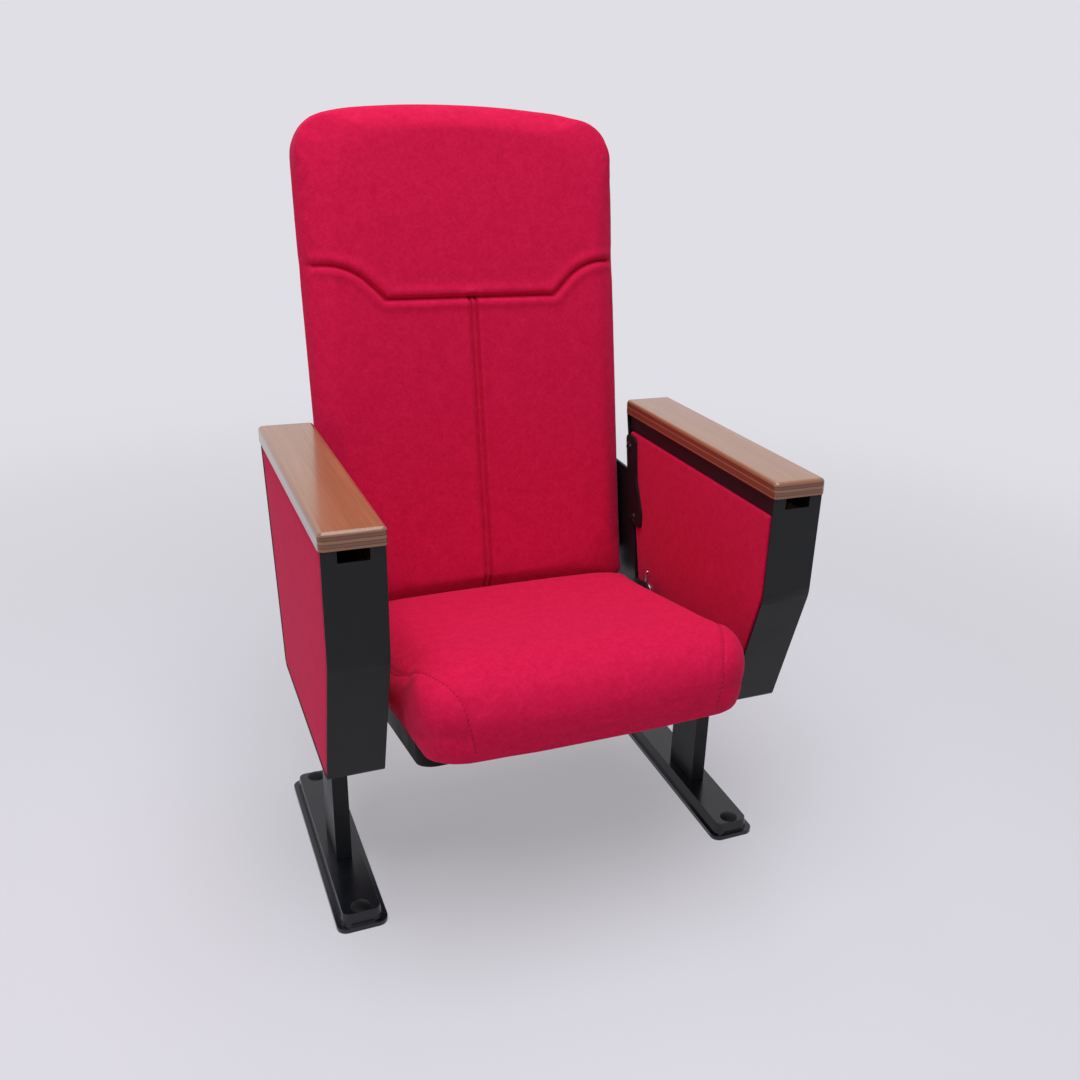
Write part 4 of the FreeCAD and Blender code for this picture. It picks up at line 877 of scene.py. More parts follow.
    def seam_distance(self, points: np.ndarray, normals: np.ndarray) -> np.ndarray:
        """Measures how far points of the skin lie from the nearest seam.

        Args:
            points: Points of the skin.
            normals: The skin's normals there.

        Returns:
            One distance in the plan for each point, endless under the seams' floor and on the pad's sides.
        """
        best = self.plan_distance(points, self.seams)
        best[np.abs(normals[:, 0]) > SIDEWAYS] = np.inf
        return best

    def plan_distance(self, points: np.ndarray, lines: Sequence[Seam]) -> np.ndarray:
        """Measures how far points lie from the nearest line in the pad's plan.

        Args:
            points: Points of the skin.
            lines: Lines to measure from.

        Returns:
            One distance for each point, endless under the seams' floor.
        """
        local = self.place.inside(points)
        best = np.min([line.distance(local[:, self.plan]) for line in lines], axis=0)
        best[local[:, self.rise] * self.upward < self.floor] = np.inf
        return best

    def sew(self, piece: bpy.types.Object) -> None:
        """Draws the cover in along every seam and pulls its hem down over the board.

        Args:
            piece: The pad's skin.
        """
        mesh = piece.data
        points = points_of(mesh)
        local = self.place.inside(points)
        plan = local[:, self.plan]
        level = local[:, self.rise] * self.upward
        fade = np.clip((level - self.floor) / self.fade, 0, 1)
        normals = normals_of(mesh)
        facing = (normals @ self.place.turn)[:, self.rise] * self.upward
        begins, full = self.turned
        ahead = np.clip((facing - begins) / (full - begins), 0, 1)
        push = np.zeros(len(points))
        for seam in self.seams:
            push += seam.sink(seam.distance(plan)) * (ahead if seam.on_face else 1.0)
        drop = np.zeros((len(points), 3))
        under = np.clip((self.floor - level) / self.hem_height, 0, 1)
        drop[:, self.rise] = -self.upward * self.hem * under
        set_points(mesh, points + normals * (push * fade)[:, None] + drop @ self.place.turn.T)

    def make(self) -> bpy.types.Object:
        """Builds the pad, dresses it and hands it to the frame.

        Returns:
            The pad.
        """
        piece = self.block()
        self.swell(piece)
        self.refine(piece)
        self.sew(piece)
        piece.data.shade_smooth()
        dress(piece, UPHOLSTERY)
        self.piece = settle(piece, self.body, UPHOLSTERY, self.node)
        return piece


def arc(centre: Sequence[float], radius: float, first: float, last: float,
        steps: int) -> list[tuple[float, float]]:
    """Samples an arc in a plan, angles in degrees."""
    angles = np.radians(np.linspace(first, last, steps + 1))
    return [(centre[0] + radius * math.cos(a), centre[1] + radius * math.sin(a)) for a in angles]


@dataclass
class Back:
    """The high back's cushion, with a shouldered head seam and a double centre seam.

    Attributes:
        place: Frame of the back, at the middle of its lower edge.
        half: Half of its width, in metres.
        floor: Level behind its face at which the cover is fixed, in metres.
        seam_middle: Height of the head seam in the middle, in metres.
        seam_side: Its height at the sides, in metres.
        seam_flat: Half of its level run in the middle, in metres.
        seam_slope: Width of the slope that follows, in metres.
        seam_bend: Width of the bend into the level run at the side, in metres.
        seam_knee: Share of the climb that the slope takes.
        seam_lead: How far the bend leads outwards, in heights of its own climb.
        seam_points: Points of the bend.
        seam_overrun: How far the line runs past the side, in metres.
        seam_foot: Where the centre seam starts under the back, in metres.
        pitch: Distance between the rows of the centre seam, in metres.
    """

    place: Place = Place(Vector((0.0, 161 * MM, 300 * MM)), -10.6)
    half: float = 246 * MM
    floor: float = -46 * MM
    seam_middle: float = 474 * MM
    seam_side: float = 524 * MM
    seam_flat: float = 131 * MM
    seam_slope: float = 26 * MM
    seam_bend: float = 64 * MM
    seam_knee: float = 0.52
    seam_lead: float = 1.1
    seam_points: int = 9
    seam_overrun: float = 40 * MM
    seam_foot: float = -20 * MM
    pitch: float = 9 * MM

    def head_line(self) -> np.ndarray:
        """Traces the head seam from one side to the other.

        Returns:
            Points across the back and up it.
        """
        knee = self.seam_middle + (self.seam_side - self.seam_middle) * self.seam_knee
        start = Vector((self.seam_flat + self.seam_slope, knee))
        end = Vector((self.seam_flat + self.seam_slope + self.seam_bend, self.seam_side))
        corner = Vector((start.x + (end.y - start.y) * self.seam_lead, end.y))
        shares = np.linspace(0, 1, self.seam_points)
        bend = [start.lerp(corner, t).lerp(corner.lerp(end, t), t) for t in shares]
        right = [(self.seam_flat, self.seam_middle)] + [(p.x, p.y) for p in bend]
        right.append((self.half + self.seam_overrun, self.seam_side))
        left = [(-x, y) for x, y in reversed(right)]
        return np.array(left + right)

    def centre_lines(self) -> list[np.ndarray]:
        """Traces the two rows of the centre seam."""
        rows = (-self.pitch / 2, self.pitch / 2)
        return [np.array([(row, self.seam_foot), (row, self.seam_middle)]) for row in rows]

    def make(self) -> Cushion:
        """Builds the back's cushion.

        Returns:
            The cushion.
        """
        seams = [Seam(self.head_line(), depth=8 * MM, width=3.3 * MM, puff=1.8 * MM, on_face=True)]
        seams += [Seam(line, depth=7 * MM, width=2.7 * MM, puff=1.1 * MM) for line in self.centre_lines()]
        cushion = Cushion("back_pad", "back_cushion", Body.FRAME, self.place, plan=(0, 2), rise=1, upward=-1,
                          floor=self.floor, fill=0.9, seams=seams)
        cushion.make()
        return cushion


@dataclass
class Seat:
    """The tip-up seat's cushion, with a gusset seam over each front corner.

    Attributes:
        rake: Lean of the seat about X, in degrees.
        half: Half of its width, in metres.
        nose: Distance of its front from the hinge, in metres.
        tail: Distance of its rear from the hinge, in metres.
        floor: Level under the hinge at which the cover is fixed, in metres.
        hem: How far the cover is pulled down past the foam, in metres.
        seam_inset: Distance of the gusset seam from the side at the front, in metres.
        seam_turn: How far behind the nose the seam starts to turn in, in metres.
        seam_edge: Distance of the seam from the side before it turns, in metres.
        seam_steps: Straight runs that its turn is drawn with.
        groove_turn: The same as seam_turn for the frame's own groove, in metres.
        groove_edge: The same as seam_edge for the frame's own groove, in metres.
    """

    rake: float = -11.6
    half: float = 232 * MM
    nose: float = 401 * MM
    tail: float = 60 * MM
    floor: float = -60 * MM
    hem: float = 4 * MM
    seam_inset: float = 66 * MM
    seam_turn: float = 200 * MM
    seam_edge: float = 6 * MM
    seam_steps: int = 14
    groove_turn: float = 145 * MM
    groove_edge: float = 20 * MM

    @property
    def place(self) -> Place:
        """Frame of the seat at its hinge."""
        return Place(Vector(frame["joints"][0]["pos_m"]), self.rake)

    def gusset_line(self, sign: int, inset: float, along: float) -> np.ndarray:
        """Traces one gusset seam: along the side, in over the corner and down the front.

        Args:
            sign: -1 for the left, 1 for the right.
            inset: How far it runs from the seat's side, in metres.
            along: How far behind the nose it starts to turn in, in metres.

        Returns:
            Points across the seat and along it.
        """
        edge = self.half - inset
        across = self.seam_inset - inset
        radius = (across ** 2 + along ** 2) / (2 * across)
        sweep = math.degrees(math.asin(along / radius))
        round_in = arc((edge - radius, -self.nose + along), radius, 0.0, -sweep, self.seam_steps)
        front = round_in[-1][0]
        path = [(edge, 2 * self.tail)] + round_in + [(front, -self.nose - along)]
        return np.array([(sign * x, y) for x, y in path])

    def make(self) -> Cushion:
        """Builds the seat's cushion.

        Returns:
            The cushion.
        """
        seams = [Seam(self.gusset_line(sign, self.seam_edge, self.seam_turn), depth=1.2 * MM, width=2.4 * MM,
                      puff=0.4 * MM) for sign in (-1, 1)]
        grooves = [replace(seam, path=self.gusset_line(sign, self.groove_edge, self.groove_turn))
                   for seam, sign in zip(seams, (-1, 1))]
        cushion = Cushion("seat_pad", "seat_cushion", Body.SEAT, self.place, plan=(0, 1), rise=2, upward=1,
                          floor=self.floor, fill=0.9, seams=seams, grooves=grooves, hem=self.hem)
        cushion.make()
        return cushion


@dataclass
class StitchRow:
    """Rows of stitches that lie in a cushion's seams, set out by Geometry Nodes.

    Attributes:
        name: Name of the piece.
        cushion: Cushion that is sewn.
        pitch: Distance from stitch to stitch, in metres.
        length: Length of one stitch, in metres.
        thread: Radius of the thread, in metres.
        step: Distance between the line's points, in metres.
        steepest: How squarely the cover must face up where the line is laid from above.
        proud: Share of the thread's radius by which its middle lies above the cover.
    """

    name: str
    cushion: Cushion
    pitch: float = 6.5 * MM
    length: float = 4.6 * MM
    thread: float = 0.55 * MM
    step: float = 3 * MM
    steepest: float = 0.3
    proud: float = 0.4

    def on_skin(self, skin: BVHTree, local: Sequence[float], axis: int,
                sign: int) -> tuple[Vector, float] | None:
        """Looks at the cushion along an axis of its frame.

        Args:
            skin: The cushion's skin.
            local: Where the look starts, in the cushion's frame.
            axis: Axis of that frame.
            sign: Way along it.

        Returns:
            Place of a thread on the skin and how squarely the skin faces the look, or None past the cushion.
        """
        pad = self.cushion
        way = Vector(pad.place.turn[:, axis] * sign)
        hit, normal = skin.ray_cast(Vector(pad.place.outside(np.array([local]))[0]), way)[:2]
        return None if hit is None else (hit - way * self.thread * self.proud, -normal.dot(way))

    def run(self, seam: Seam, skin: BVHTree) -> list[Vector]:
        """Lays a seam's line on the cushion, over its top and down its front.

        Args:
            seam: The sewn line.
            skin: The cushion's skin.

        Returns:
            Points on the skin, in order.
        """
        pad = self.cushion
        found: list[Vector] = []
        for start, end in zip(seam.path[:-1], seam.path[1:]):
            steps = max(2, int(np.linalg.norm(end - start) / self.step))
            for share in np.linspace(0, 1, steps, endpoint=False):
                across, along = start + (end - start) * share
                seen = self.on_skin(skin, (across, along, OVERHEAD), pad.rise, -pad.upward)
                if seen and seen[1] > self.steepest:
                    found.append(seen[0])
        last = pad.place.inside(np.array(found[-1])[None])[0]
        steps = max(2, int((last[pad.rise] - pad.floor) / self.step))
        for share in np.linspace(0, 1, steps)[1:]:
            across = last[0] + (seam.path[-1][0] - last[0]) * share
            height = last[pad.rise] + (pad.floor - last[pad.rise]) * share
            seen = self.on_skin(skin, (across, seam.path[-1][1], height), pad.plan[1], 1)
            if seen:
                found.append(seen[0])
        return found

    def lines(self) -> bpy.types.Object:
        """Lays every seam's line on the cushion's skin.

        Returns:
            A piece of edges alone.
        """
        skin = BVHTree.FromObject(self.cushion.piece, bpy.context.evaluated_depsgraph_get())
        vertices: list[Vector] = []
        edges: list[tuple[int, int]] = []
        for seam in self.cushion.seams:
            run = self.run(seam, skin)
            edges += [(at, at + 1) for at in range(len(vertices), len(vertices) + len(run) - 1)]
            vertices += run
        mesh = bpy.data.meshes.new(self.name)
        mesh.from_pydata(vertices, edges, [])
        return new_piece(self.name, mesh)

    def tree(self) -> bpy.types.NodeTree:
        """Builds the node tree that puts stitches along lines.

        Returns:
            The tree, with inputs for pitch, length, thread and material.
        """
        group = bpy.data.node_groups.new("stitches_along_line", "GeometryNodeTree")
        sides = group.interface
        sides.new_socket("Lines", in_out="INPUT", socket_type="NodeSocketGeometry")
        for label in ("Pitch", "Length", "Thread"):
            sides.new_socket(label, in_out="INPUT", socket_type="NodeSocketFloat")
        sides.new_socket("Material", in_out="INPUT", socket_type="NodeSocketMaterial")
        sides.new_socket("Stitches", in_out="OUTPUT", socket_type="NodeSocketGeometry")
        given = add(group, "NodeGroupInput").outputs
        curve = add(group, "GeometryNodeMeshToCurve", Mesh=given["Lines"])
        spots = add(group, "GeometryNodeCurveToPoints", {"mode": "LENGTH"}, Curve=curve.outputs[0],
                    Length=given["Pitch"])
        half = add(group, "ShaderNodeMath", {"operation": "MULTIPLY"}, i0=given["Length"], i1=0.5)
        size = add(group, "ShaderNodeCombineXYZ", X=given["Thread"], Y=given["Thread"], Z=half.outputs[0])
        bead = add(group, "GeometryNodeMeshUVSphere", Segments=8, Rings=6, Radius=1.0)
        shaped = add(group, "GeometryNodeTransform", Geometry=bead.outputs["Mesh"], Scale=size.outputs[0])
        placed = add(group, "GeometryNodeInstanceOnPoints", Points=spots.outputs["Points"],
                     Instance=shaped.outputs[0], Rotation=spots.outputs["Rotation"])
        real = add(group, "GeometryNodeRealizeInstances", Geometry=placed.outputs[0])
        smooth = add(group, "GeometryNodeSetShadeSmooth", Geometry=real.outputs[0])
        dressed = add(group, "GeometryNodeSetMaterial", Geometry=smooth.outputs[0],
                      Material=given["Material"])
        add(group, "NodeGroupOutput", Stitches=dressed.outputs[0])
        return group

    def make(self) -> bpy.types.Object:
        """Builds the stitches and hands them to the frame.

        Returns:
            The stitches of all seams as one piece.
        """
        piece = self.lines()
        modifier = piece.modifiers.new("stitches", "NODES")
        modifier.node_group = self.tree()
        set_inputs(modifier, {"Pitch": self.pitch, "Length": self.length, "Thread": self.thread,
                              "Material": FINISHES.get(SEAM_THREAD)})
        apply_modifiers(piece)
        return settle(piece, self.cushion.body, SEAM_THREAD)


def islands(mesh: bpy.types.Mesh) -> list[np.ndarray]:
    """Splits a node of loose solids into the points of each solid.

    Args:
        mesh: The node's mesh.

    Returns:
        One array of points for each solid, in the mesh's order.
    """
    work = bmesh.new()
    work.from_mesh(mesh)
    bmesh.ops.remove_doubles(work, verts=work.verts, dist=WELD)
    left = set(work.verts)
    found = []
    for first in work.verts:
        if first not in left:
            continue
        left.discard(first)
        queue, members = [first], []
        while queue:
            here = queue.pop()
            members.append(tuple(here.co))
            for edge in here.link_edges:
                other = edge.other_vert(here)
                if other in left:
                    left.discard(other)
                    queue.append(other)
        found.append(np.array(members))
    work.free()
    return found


def set_inputs(modifier: bpy.types.Modifier, values: Mapping[str, Any]) -> None:
    """Sets a Geometry Nodes modifier's inputs by their names.

    Args:
        modifier: Modifier whose node tree is in place.
        values: Values by input name.
    """
    for item in modifier.node_group.interface.items_tree:
        if item.in_out == "INPUT" and item.name in values:
            modifier[item.identifier] = values[item.name]


@dataclass
class ScrewSet:
    """Cross-head screws of one node, set out by Geometry Nodes at the places of the frame's own.

    Attributes:
        node: Node of the frame that they stand for.
        body: Body that they move with.
        place: Frame that they are square to.
        axis: Axis of that frame that they lie along.
        outward: Sign of that axis towards the head.
        rise: Height of a head, in metres.
        slot_length: Length of the cross's slots, in radii of the head.
        slot_width: Their width, in radii of the head.
        slot_middle: Level of their middle, in heights of the head.
        shank: Radius of the shank, in radii of the head.
        sharp: Angle past which an edge is shaded sharp, in degrees.
    """

    node: str
    body: Body
    place: Place
    axis: int
    outward: int
    rise: float = 3 * MM
    slot_length: float = 0.95
    slot_width: float = 0.24
    slot_middle: float = 0.95
    shank: float = 0.5
    sharp: float = 40.0

    def tree(self) -> bpy.types.NodeTree:
        """Builds the node tree that puts a cross-head screw on each point.

        Returns:
            The tree, with inputs for the screw's sizes, its turn and its material.
        """
        group = bpy.data.node_groups.new(f"{self.node}_on_points", "GeometryNodeTree")
        sides = group.interface
        sides.new_socket("Points", in_out="INPUT", socket_type="NodeSocketGeometry")
        for label in ("Radius", "Height", "Length"):
            sides.new_socket(label, in_out="INPUT", socket_type="NodeSocketFloat")
        sides.new_socket("Turn", in_out="INPUT", socket_type="NodeSocketRotation")
        sides.new_socket("Material", in_out="INPUT", socket_type="NodeSocketMaterial")
        sides.new_socket("Screws", in_out="OUTPUT", socket_type="NodeSocketGeometry")
        given = add(group, "NodeGroupInput").outputs

        def times(value: bpy.types.NodeSocket, factor: float) -> bpy.types.NodeSocket:
            """Gives a share of a size."""
            return add(group, "ShaderNodeMath", {"operation": "MULTIPLY"}, i0=value, i1=factor).outputs[0]

        def across(x: Any, y: Any, z: Any) -> bpy.types.NodeSocket:
            """Joins three sizes to a vector."""
            return add(group, "ShaderNodeCombineXYZ", X=x, Y=y, Z=z).outputs[0]

        ball = add(group, "GeometryNodeMeshUVSphere", Segments=32, Rings=16, Radius=1.0)
        flat = add(group, "GeometryNodeTransform", Geometry=ball.outputs["Mesh"],
                   Scale=across(given["Radius"], given["Radius"], given["Height"]))
        arms = []
        length, width = times(given["Radius"], self.slot_length), times(given["Radius"], self.slot_width)
        raised = across(0.0, 0.0, times(given["Height"], self.slot_middle))
        for wide, deep in ((length, width), (width, length)):
            arm = add(group, "GeometryNodeMeshCube", Size=across(wide, deep, given["Height"]))
            arms.append(add(group, "GeometryNodeTransform", Geometry=arm.outputs["Mesh"],
                            Translation=raised).outputs[0])
        recess = add(group, "GeometryNodeMeshBoolean", {"operation": "DIFFERENCE"}, i0=flat.outputs[0])
        for arm in arms:
            group.links.new(arm, recess.inputs[1])
        shank = add(group, "GeometryNodeMeshCylinder", Vertices=16, Depth=given["Length"],
                    Radius=times(given["Radius"], self.shank))
        down = add(group, "GeometryNodeTransform", Geometry=shank.outputs["Mesh"],
                   Translation=across(0.0, 0.0, times(given["Length"], -0.5)))
        whole = add(group, "GeometryNodeJoinGeometry")
        for part in (down.outputs[0], recess.outputs[0]):
            group.links.new(part, whole.inputs[0])
        placed = add(group, "GeometryNodeInstanceOnPoints", Points=given["Points"], Instance=whole.outputs[0],
                     Rotation=given["Turn"])
        real = add(group, "GeometryNodeRealizeInstances", Geometry=placed.outputs[0])
        dressed = add(group, "GeometryNodeSetMaterial", Geometry=real.outputs[0], Material=given["Material"])
        add(group, "NodeGroupOutput", Screws=dressed.outputs[0])
        return group

    def make(self) -> bpy.types.Object:
        """Builds the screws and hands them to the frame.

        Returns:
            The node's screws as one piece.
        """
        solids = [self.place.inside(points) for points in islands(frame["nodes"][self.node].data)]
        seats = []
        for points in solids:
            middle = (points.min(axis=0) + points.max(axis=0)) / 2
            middle[self.axis] = self.outward * ((points[:, self.axis] * self.outward).max() - self.rise)
            seats.append(middle)
        spans = np.ptp(solids[0], axis=0)
        mesh = bpy.data.meshes.new(self.node)
        mesh.from_pydata(self.place.outside(np.array(seats)).tolist(), [], [])
        piece = new_piece(f"{self.node}_cross_head", mesh)
        way = np.zeros(3)
        way[self.axis] = self.outward
        modifier = piece.modifiers.new("screws", "NODES")
        modifier.node_group = self.tree()
        set_inputs(modifier, {
            "Radius": float(np.delete(spans, self.axis).max() / 2), "Height": self.rise,
            "Length": float(spans[self.axis] - self.rise), "Material": FINISHES.get(ZINC),
            "Turn": Vector(self.place.turn @ way).to_track_quat("Z", "Y").to_euler()})
        apply_modifiers(piece)
        piece.data.shade_smooth()
        piece.data.set_sharp_from_angle(angle=math.radians(self.sharp))
        return settle(piece, self.body, ZINC, self.node)


@dataclass
class ArmPanel:
    """A padded panel on one face of an arm: fabric drawn over a board and round its edge.

    Attributes:
        node: Cover of the frame that it stands for.
        outward: Sign of X away from the board.
        corner: Radius of the outline's corners, in metres.
        corner_points: Points of a rounded corner.
        straight: Turns under this angle stay as they are, in degrees.
        nearest: Corners of the hull nearer than this to the next are left out, in metres.
        step: Longest run without a point, in metres.
        crown: Height of the padding's swell, in metres.
        fill: How tight the padding is; not used.
        rim: Inset and height of the rows round the board's edge, in millimetres.
        rings: Shares of the way from the edge to the middle at which the face has a row.
    """

    node: str
    outward: int
    corner: float = 4.5 * MM
    corner_points: int = 7
    straight: float = 25.0
    nearest: float = 0.5 * MM
    step: float = 14 * MM
    crown: float = 1.6 * MM
    fill: float = 0.95
    rim: tuple[tuple[float, float], ...] = ((0.9, -8.0), (0.25, -6.0), (0.0, -2.0), (0.0, 1.3), (0.25, 2.3),
                                            (0.9, 3.2), (1.9, 3.75), (3.2, 4.0))
    rings: tuple[float, ...] = (0.03, 0.07, 0.13, 0.22, 0.34, 0.48, 0.63, 0.8)

    def outline(self) -> np.ndarray:
        """Reads the cover's outline off the frame and rounds its corners.

        Returns:
            Points in depth and height, in order, with the whole to their left.
        """
        flat = [Vector((p[1], p[2])) for p in points_of(frame["nodes"][self.node].data)]
        corners = [flat[index] for index in convex_hull_2d(flat)]
        kept = [p for p, q in zip(corners, corners[1:] + corners[:1]) if (p - q).length > self.nearest]
        rounded: list[tuple[float, float]] = []
        for before, here, after in zip(kept[-1:] + kept[:-1], kept, kept[1:] + kept[:1]):
            incoming, outgoing = (here - before).normalized(), (after - here).normalized()
            turn = incoming.angle_signed(outgoing, 0.0)
            if abs(turn) < math.radians(self.straight):
                rounded.append((here.x, here.y))
                continue
            cut = self.corner * math.tan(abs(turn) / 2)
            first, last = here - incoming * cut, here + outgoing * cut
            for share in np.linspace(0, 1, self.corner_points):
                point = first.lerp(here, share).lerp(here.lerp(last, share), share)
                rounded.append((point.x, point.y))
        return self.spread(np.array(rounded))

    def spread(self, points: np.ndarray) -> np.ndarray:
        """Adds points along the long runs of an outline.

        Args:
            points: The outline's points, in order.

        Returns:
            The same outline with more points.
        """
        out = []
        for start, end in zip(points, np.roll(points, -1, axis=0)):
            count = max(1, int(np.linalg.norm(end - start) / self.step))
            out += [start + (end - start) * share for share in np.arange(count) / count]
        return np.array(out)

    @staticmethod
    def inward(points: np.ndarray) -> np.ndarray:
        """Gives the unit way inwards at each point of an outline.

        Args:
            points: The outline's points, in order.

        Returns:
            One row of depth and height for each point.
        """
        along = np.roll(points, -1, axis=0) - np.roll(points, 1, axis=0)
        along /= np.linalg.norm(along, axis=1)[:, None]
        way = np.stack([-along[:, 1], along[:, 0]], axis=1)
        middle = points.mean(axis=0)
        return way * np.sign(((middle - points) * way).sum(axis=1))[:, None]

    def sheet(self) -> bpy.types.Mesh:
        """Lays rows round the board's edge and over the padding to the middle.

        Returns:
            The cover's mesh, open at the back.
        """
        low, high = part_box(self.node)
        board_x = low.x if self.outward > 0 else high.x
        outline = self.outline()
        way = self.inward(outline)
        middle = outline.mean(axis=0)
        layers = [(outline + way * inset * MM, height * MM) for inset, height in self.rim]
        edge, face = layers[-1]
        for share in self.rings:
            swell = self.crown * (1 - (1 - share) ** 3)
            layers.append((edge + (middle - edge) * share, face + swell))
        work = bmesh.new()
        rows = []
        for ring, height in layers:
            x = board_x + self.outward * height
            rows.append([work.verts.new((x, *point)) for point in ring])
        top = work.verts.new((board_x + self.outward * (face + self.crown), *middle))
        total = len(outline)
        for at in range(total):
            after = (at + 1) % total
            for lower, upper in zip(rows[:-1], rows[1:]):
                work.faces.new((lower[at], lower[after], upper[after], upper[at]))
            work.faces.new((rows[-1][at], rows[-1][after], top))
        bmesh.ops.recalc_face_normals(work, faces=work.faces)
        mesh = bpy.data.meshes.new(f"{self.node}_fabric")
        work.to_mesh(mesh)
        work.free()
        if sum(p.normal.x * p.area for p in mesh.polygons) * self.outward < 0:
            mesh.flip_normals()
        return mesh

    def make(self) -> bpy.types.Object:
        """Builds the cover and hands it to the frame.

        Returns:
            The cover.
        """
        piece = new_piece(f"{self.node}_fabric", self.sheet())
        round_off(piece)
        piece.data.shade_smooth()
        dress(piece, UPHOLSTERY)
        settle(piece, Body.FRAME, UPHOLSTERY, self.node)
        return piece


@dataclass
class Hardware:
    """The frame's own solids that stay in view, dressed by what they are made of.

    Attributes:
        ease: Width of the softened edges, in metres.
        sharp: Edges that turn by more than this are softened, in degrees.
    """

    ease: float = 0.6 * MM
    sharp: float = 40.0

    def finishes(self) -> dict[str, Finish]:
        """Gives the finish of each kind of solid, by the start of its name.

        Returns:
            Finishes by the start of a node's name.
        """
        made_of = {
            FOOT_ENAMEL: ("foot",),
            POWDER_COAT: ("post", "arm_shell", "arm_top_rail", "side_plate", "back_bracket",
                          "seat_hinge_arm"),
            PLYWOOD: ("arm_inner_board", "arm_outer_board", "seat_board", "back_board"),
            SHELL_PLASTIC: ("foot_bolt_caps", "seat_pan", "back_shell"),
            BUSH_NYLON: ("hinge_bush",),
            BOLT_OXIDE: ("bracket_bolts",),
            ZINC: ("hinge_screws", "cap_screws", "panel_standoffs", "bracket_nuts", "bracket_flange_screws",
                   "pivot", "stop_pin", "return_spring"),
        }
        return {start: finish for finish, starts in made_of.items() for start in starts}

    def make(self) -> None:
        """Dresses every solid that stays in view and softens the edges of the painted ones."""
        kinds = self.finishes()
        starts = sorted(kinds, key=len, reverse=True)
        for name, solid in frame["nodes"].items():
            start = next((s for s in starts if name.startswith(s)), None)
            if start is None or solid.hide_render:
                continue
            finish = kinds[start]
            dress(solid, finish)
            weld(solid)
            if finish in (POWDER_COAT, FOOT_ENAMEL):
                bevel = solid.modifiers.new("ease", "BEVEL")
                bevel.width = self.ease
                bevel.segments = 2
                bevel.limit_method = "ANGLE"
                bevel.angle_limit = math.radians(self.sharp)
            log.info("%s wears %s", name, finish.name)


@dataclass
class ArmrestCap:
    """A laminated wooden cap on top of an arm.

    Attributes:
        side: Side of the chair.
        end: Length at either end in which the top's height is read, in metres.
    """

    side: str
    end: float = 12 * MM

    def make(self) -> None:
        """Dresses the cap so that its plies lie along its slope."""
        node = f"armrest_cap_{self.side}"
        low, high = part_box(node)
        solid = frame["nodes"][node]
        points = points_of(solid.data)
        front = points[points[:, 1] < low.y + self.end][:, 2].max()
        rear = points[points[:, 1] > high.y - self.end][:, 2].max()
        tilt = math.degrees(math.atan2(rear - front, high.y - low.y))
        wood = replace(CAP_WOOD, name=f"{CAP_WOOD.name}_{self.side}", tilt_degrees=tilt,
                       top=((low.x + high.x) / 2, low.y, front))
        dress(solid, wood)
        weld(solid)
        log.info("%s wears %s", node, wood.name)


@dataclass(frozen=True)
class SoftBox:
    """A square lamp.

    Attributes:
        name: Name of the lamp.
        place: Where it hangs, in metres.
        aim: Point that it faces.
        side: Side of the square, in metres.
        watts: Power.
        colour: sRGB colour of its light.
    """

    name: str
    place: tuple[float, float, float]
    aim: tuple[float, float, float]
    side: float
    watts: float
    colour: str

    def hang(self) -> None:
        """Puts the lamp into the scene."""
        data = bpy.data.lights.new(self.name, "AREA")
        data.size = self.side
        data.energy = self.watts
        data.color = linear(self.colour)[:3]
        lamp = bpy.data.objects.new(self.name, data)
        bpy.context.scene.collection.objects.link(lamp)
        way = Vector(self.aim) - Vector(self.place)
        lamp.matrix_world = Matrix.Translation(self.place) @ way.to_track_quat("-Z", "Y").to_matrix().to_4x4()


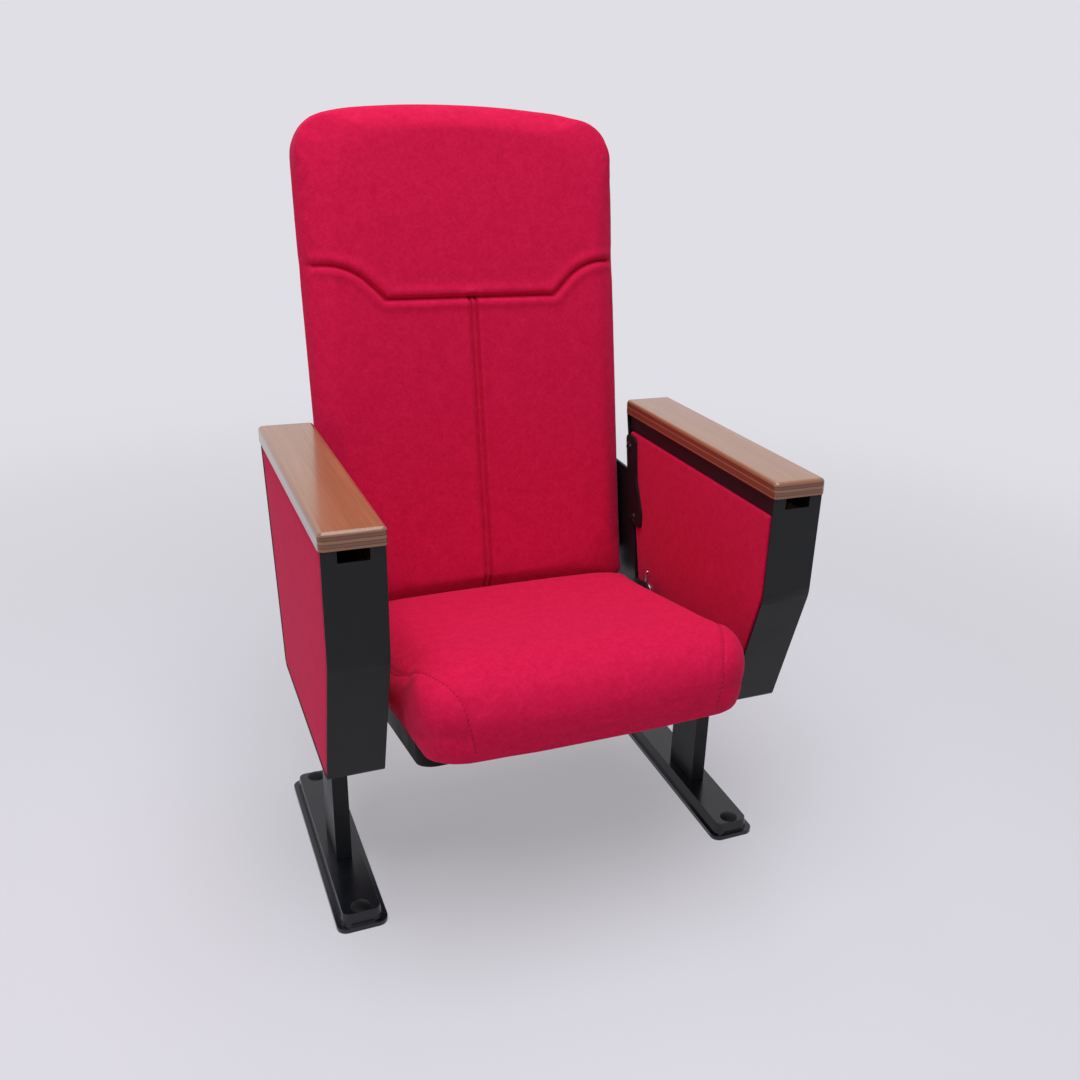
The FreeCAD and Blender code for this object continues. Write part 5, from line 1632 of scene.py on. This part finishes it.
@dataclass
class Studio:
    """Pale floor, soft light and the camera at the photograph's angle.

    Attributes:
        eye: Camera position, in metres.
        yaw: Turn to the right of +Y, in degrees.
        pitch: Lean down, in degrees.
        roll: Turn about the view, in degrees.
        focal_px: Focal length in pixels of the picture.
        centre_px: Principal point in pixels of the picture.
        picture_px: Side of the square picture.
        sensor_mm: Width of the camera's sensor.
        backdrop: sRGB colour of the background and the floor.
        even_light: sRGB colour of the light from all round.
        even_strength: Its strength on the chair.
        shadow_reach: Distances from the chair at which its shadow starts to fade and is gone, in metres.
        floor_glow: Share of the floor by the chair that shines by itself.
        floor_radius: Radius of the floor, in metres.
        boxes: The lamps.
    """

    eye: Vector = field(default_factory=lambda: Vector((-0.508178, -1.403326, 1.09997)))
    yaw: float = 25.691
    pitch: float = 24.432
    roll: float = 3.37
    focal_px: float = 1123.2
    centre_px: tuple[float, float] = (627.5, 573.5)
    picture_px: float = 1080.0
    sensor_mm: float = 36.0
    backdrop: str = "#E0DFE5"
    even_light: str = "#FFF1E6"
    even_strength: float = 0.16
    shadow_reach: tuple[float, float] = (0.5, 2.6)
    floor_glow: float = 0.45
    floor_radius: float = 60.0
    boxes: tuple[SoftBox, ...] = (
        SoftBox("top_box", (-0.3, -0.8, 3.0), (0.0, 0.0, 0.4), side=2.4, watts=76.0, colour="#F6F7FF"),
        SoftBox("rear_box", (0.2, 0.9, 3.0), (0.0, 0.0, 0.4), side=1.6, watts=18.0, colour="#F2F4FF"),
        SoftBox("left_box", (-3.0, 0.0, 1.2), (0.0, 0.0, 0.5), side=1.6, watts=12.0, colour="#FFFFFF"),
    )

    def camera(self) -> None:
        """Sets up the camera."""
        yaw, pitch, roll = (math.radians(a) for a in (self.yaw, self.pitch, self.roll))
        ahead = Vector((math.sin(yaw) * math.cos(pitch), math.cos(yaw) * math.cos(pitch), -math.sin(pitch)))
        right = Vector((math.cos(yaw), -math.sin(yaw), 0.0))
        up = right.cross(ahead)
        tilted_right = right * math.cos(roll) + up * math.sin(roll)
        tilted_up = up * math.cos(roll) - right * math.sin(roll)
        data = bpy.data.cameras.new("camera")
        data.sensor_width = self.sensor_mm
        data.lens = self.focal_px * self.sensor_mm / self.picture_px
        data.shift_x = (self.picture_px / 2 - self.centre_px[0]) / self.picture_px
        data.shift_y = (self.centre_px[1] - self.picture_px / 2) / self.picture_px
        data.clip_start = 0.01
        data.clip_end = 200.0
        camera = bpy.data.objects.new("camera", data)
        bpy.context.scene.collection.objects.link(camera)
        axes = Matrix((tilted_right, tilted_up, -ahead)).transposed().to_4x4()
        camera.matrix_world = Matrix.Translation(self.eye) @ axes
        bpy.context.scene.camera = camera

    @staticmethod
    def seen(tree: bpy.types.NodeTree) -> bpy.types.NodeSocket:
        """Gives 1 for rays that show the background, straight or mirrored."""
        rays = add(tree, "ShaderNodeLightPath").outputs
        return add(tree, "ShaderNodeMath", {"operation": "MAXIMUM"}, i0=rays["Is Camera Ray"],
                   i1=rays["Is Glossy Ray"]).outputs[0]

    def world(self) -> None:
        """Surrounds the chair with even light."""
        world = bpy.data.worlds.new("studio")
        world.use_nodes = True
        bpy.context.scene.world = world
        tree = world.node_tree
        tree.nodes.clear()
        even = add(tree, "ShaderNodeBackground", Color=linear(self.even_light), Strength=self.even_strength)
        shown = add(tree, "ShaderNodeBackground", Color=linear(self.backdrop), Strength=1.0)
        both = add(tree, "ShaderNodeMixShader", i0=self.seen(tree), i1=even.outputs[0], i2=shown.outputs[0])
        add(tree, "ShaderNodeOutputWorld", Surface=both.outputs[0])

    def floor(self) -> None:
        """Lays a pale floor that keeps the shadow near the chair and fades into the backdrop."""
        material = bpy.data.materials.new("pale_floor")
        material.use_nodes = True
        tree = material.node_tree
        tree.nodes.clear()
        place = add(tree, "ShaderNodeTexCoord").outputs["Object"]
        away = add(tree, "ShaderNodeVectorMath", {"operation": "LENGTH"}, i0=place)
        near, far = self.shadow_reach
        fade = add(tree, "ShaderNodeMapRange", {"interpolation_type": "SMOOTHSTEP"},
                   Value=away.outputs["Value"], From_Min=near, From_Max=far,
                   To_Min=self.floor_glow, To_Max=1.0)
        shown = add(tree, "ShaderNodeMath", {"operation": "MULTIPLY"}, i0=fade.outputs[0], i1=self.seen(tree))
        matt = add(tree, "ShaderNodeBsdfDiffuse", Color=linear(self.backdrop))
        glow = add(tree, "ShaderNodeEmission", Color=linear(self.backdrop), Strength=1.0)
        both = add(tree, "ShaderNodeMixShader", i0=shown.outputs[0], i1=matt.outputs[0], i2=glow.outputs[0])
        add(tree, "ShaderNodeOutputMaterial", Surface=both.outputs[0])
        work = bmesh.new()
        bmesh.ops.create_circle(work, cap_ends=True, segments=96, radius=self.floor_radius)
        mesh = bpy.data.meshes.new("floor")
        work.to_mesh(mesh)
        work.free()
        mesh.materials.append(material)
        new_piece("floor", mesh)

    def make(self) -> None:
        """Sets the whole studio up."""
        bpy.context.scene.view_settings.view_transform = "Standard"
        self.camera()
        self.world()
        self.floor()
        for box in self.boxes:
            box.hang()


def main() -> None:
    """Builds the chair's looks around its frame."""
    logging.basicConfig(level=logging.INFO, format="%(name)s: %(message)s")
    Studio().make()
    back = Back().make()
    seat = Seat().make()
    StitchRow("seat_stitches", seat).make()
    ScrewSet("back_shell_screws", Body.FRAME, back.place, 1, 1).make()
    ScrewSet("seat_pan_screws", Body.SEAT, seat.place, 2, -1).make()
    for side, sign in zip(SIDES, (-1, 1)):
        ArmPanel(f"arm_inner_cover_{side}", -sign).make()
        ArmPanel(f"arm_outer_cover_{side}", sign).make()
        ArmrestCap(side).make()
    Hardware().make()


if __name__ == "__main__":
    main()
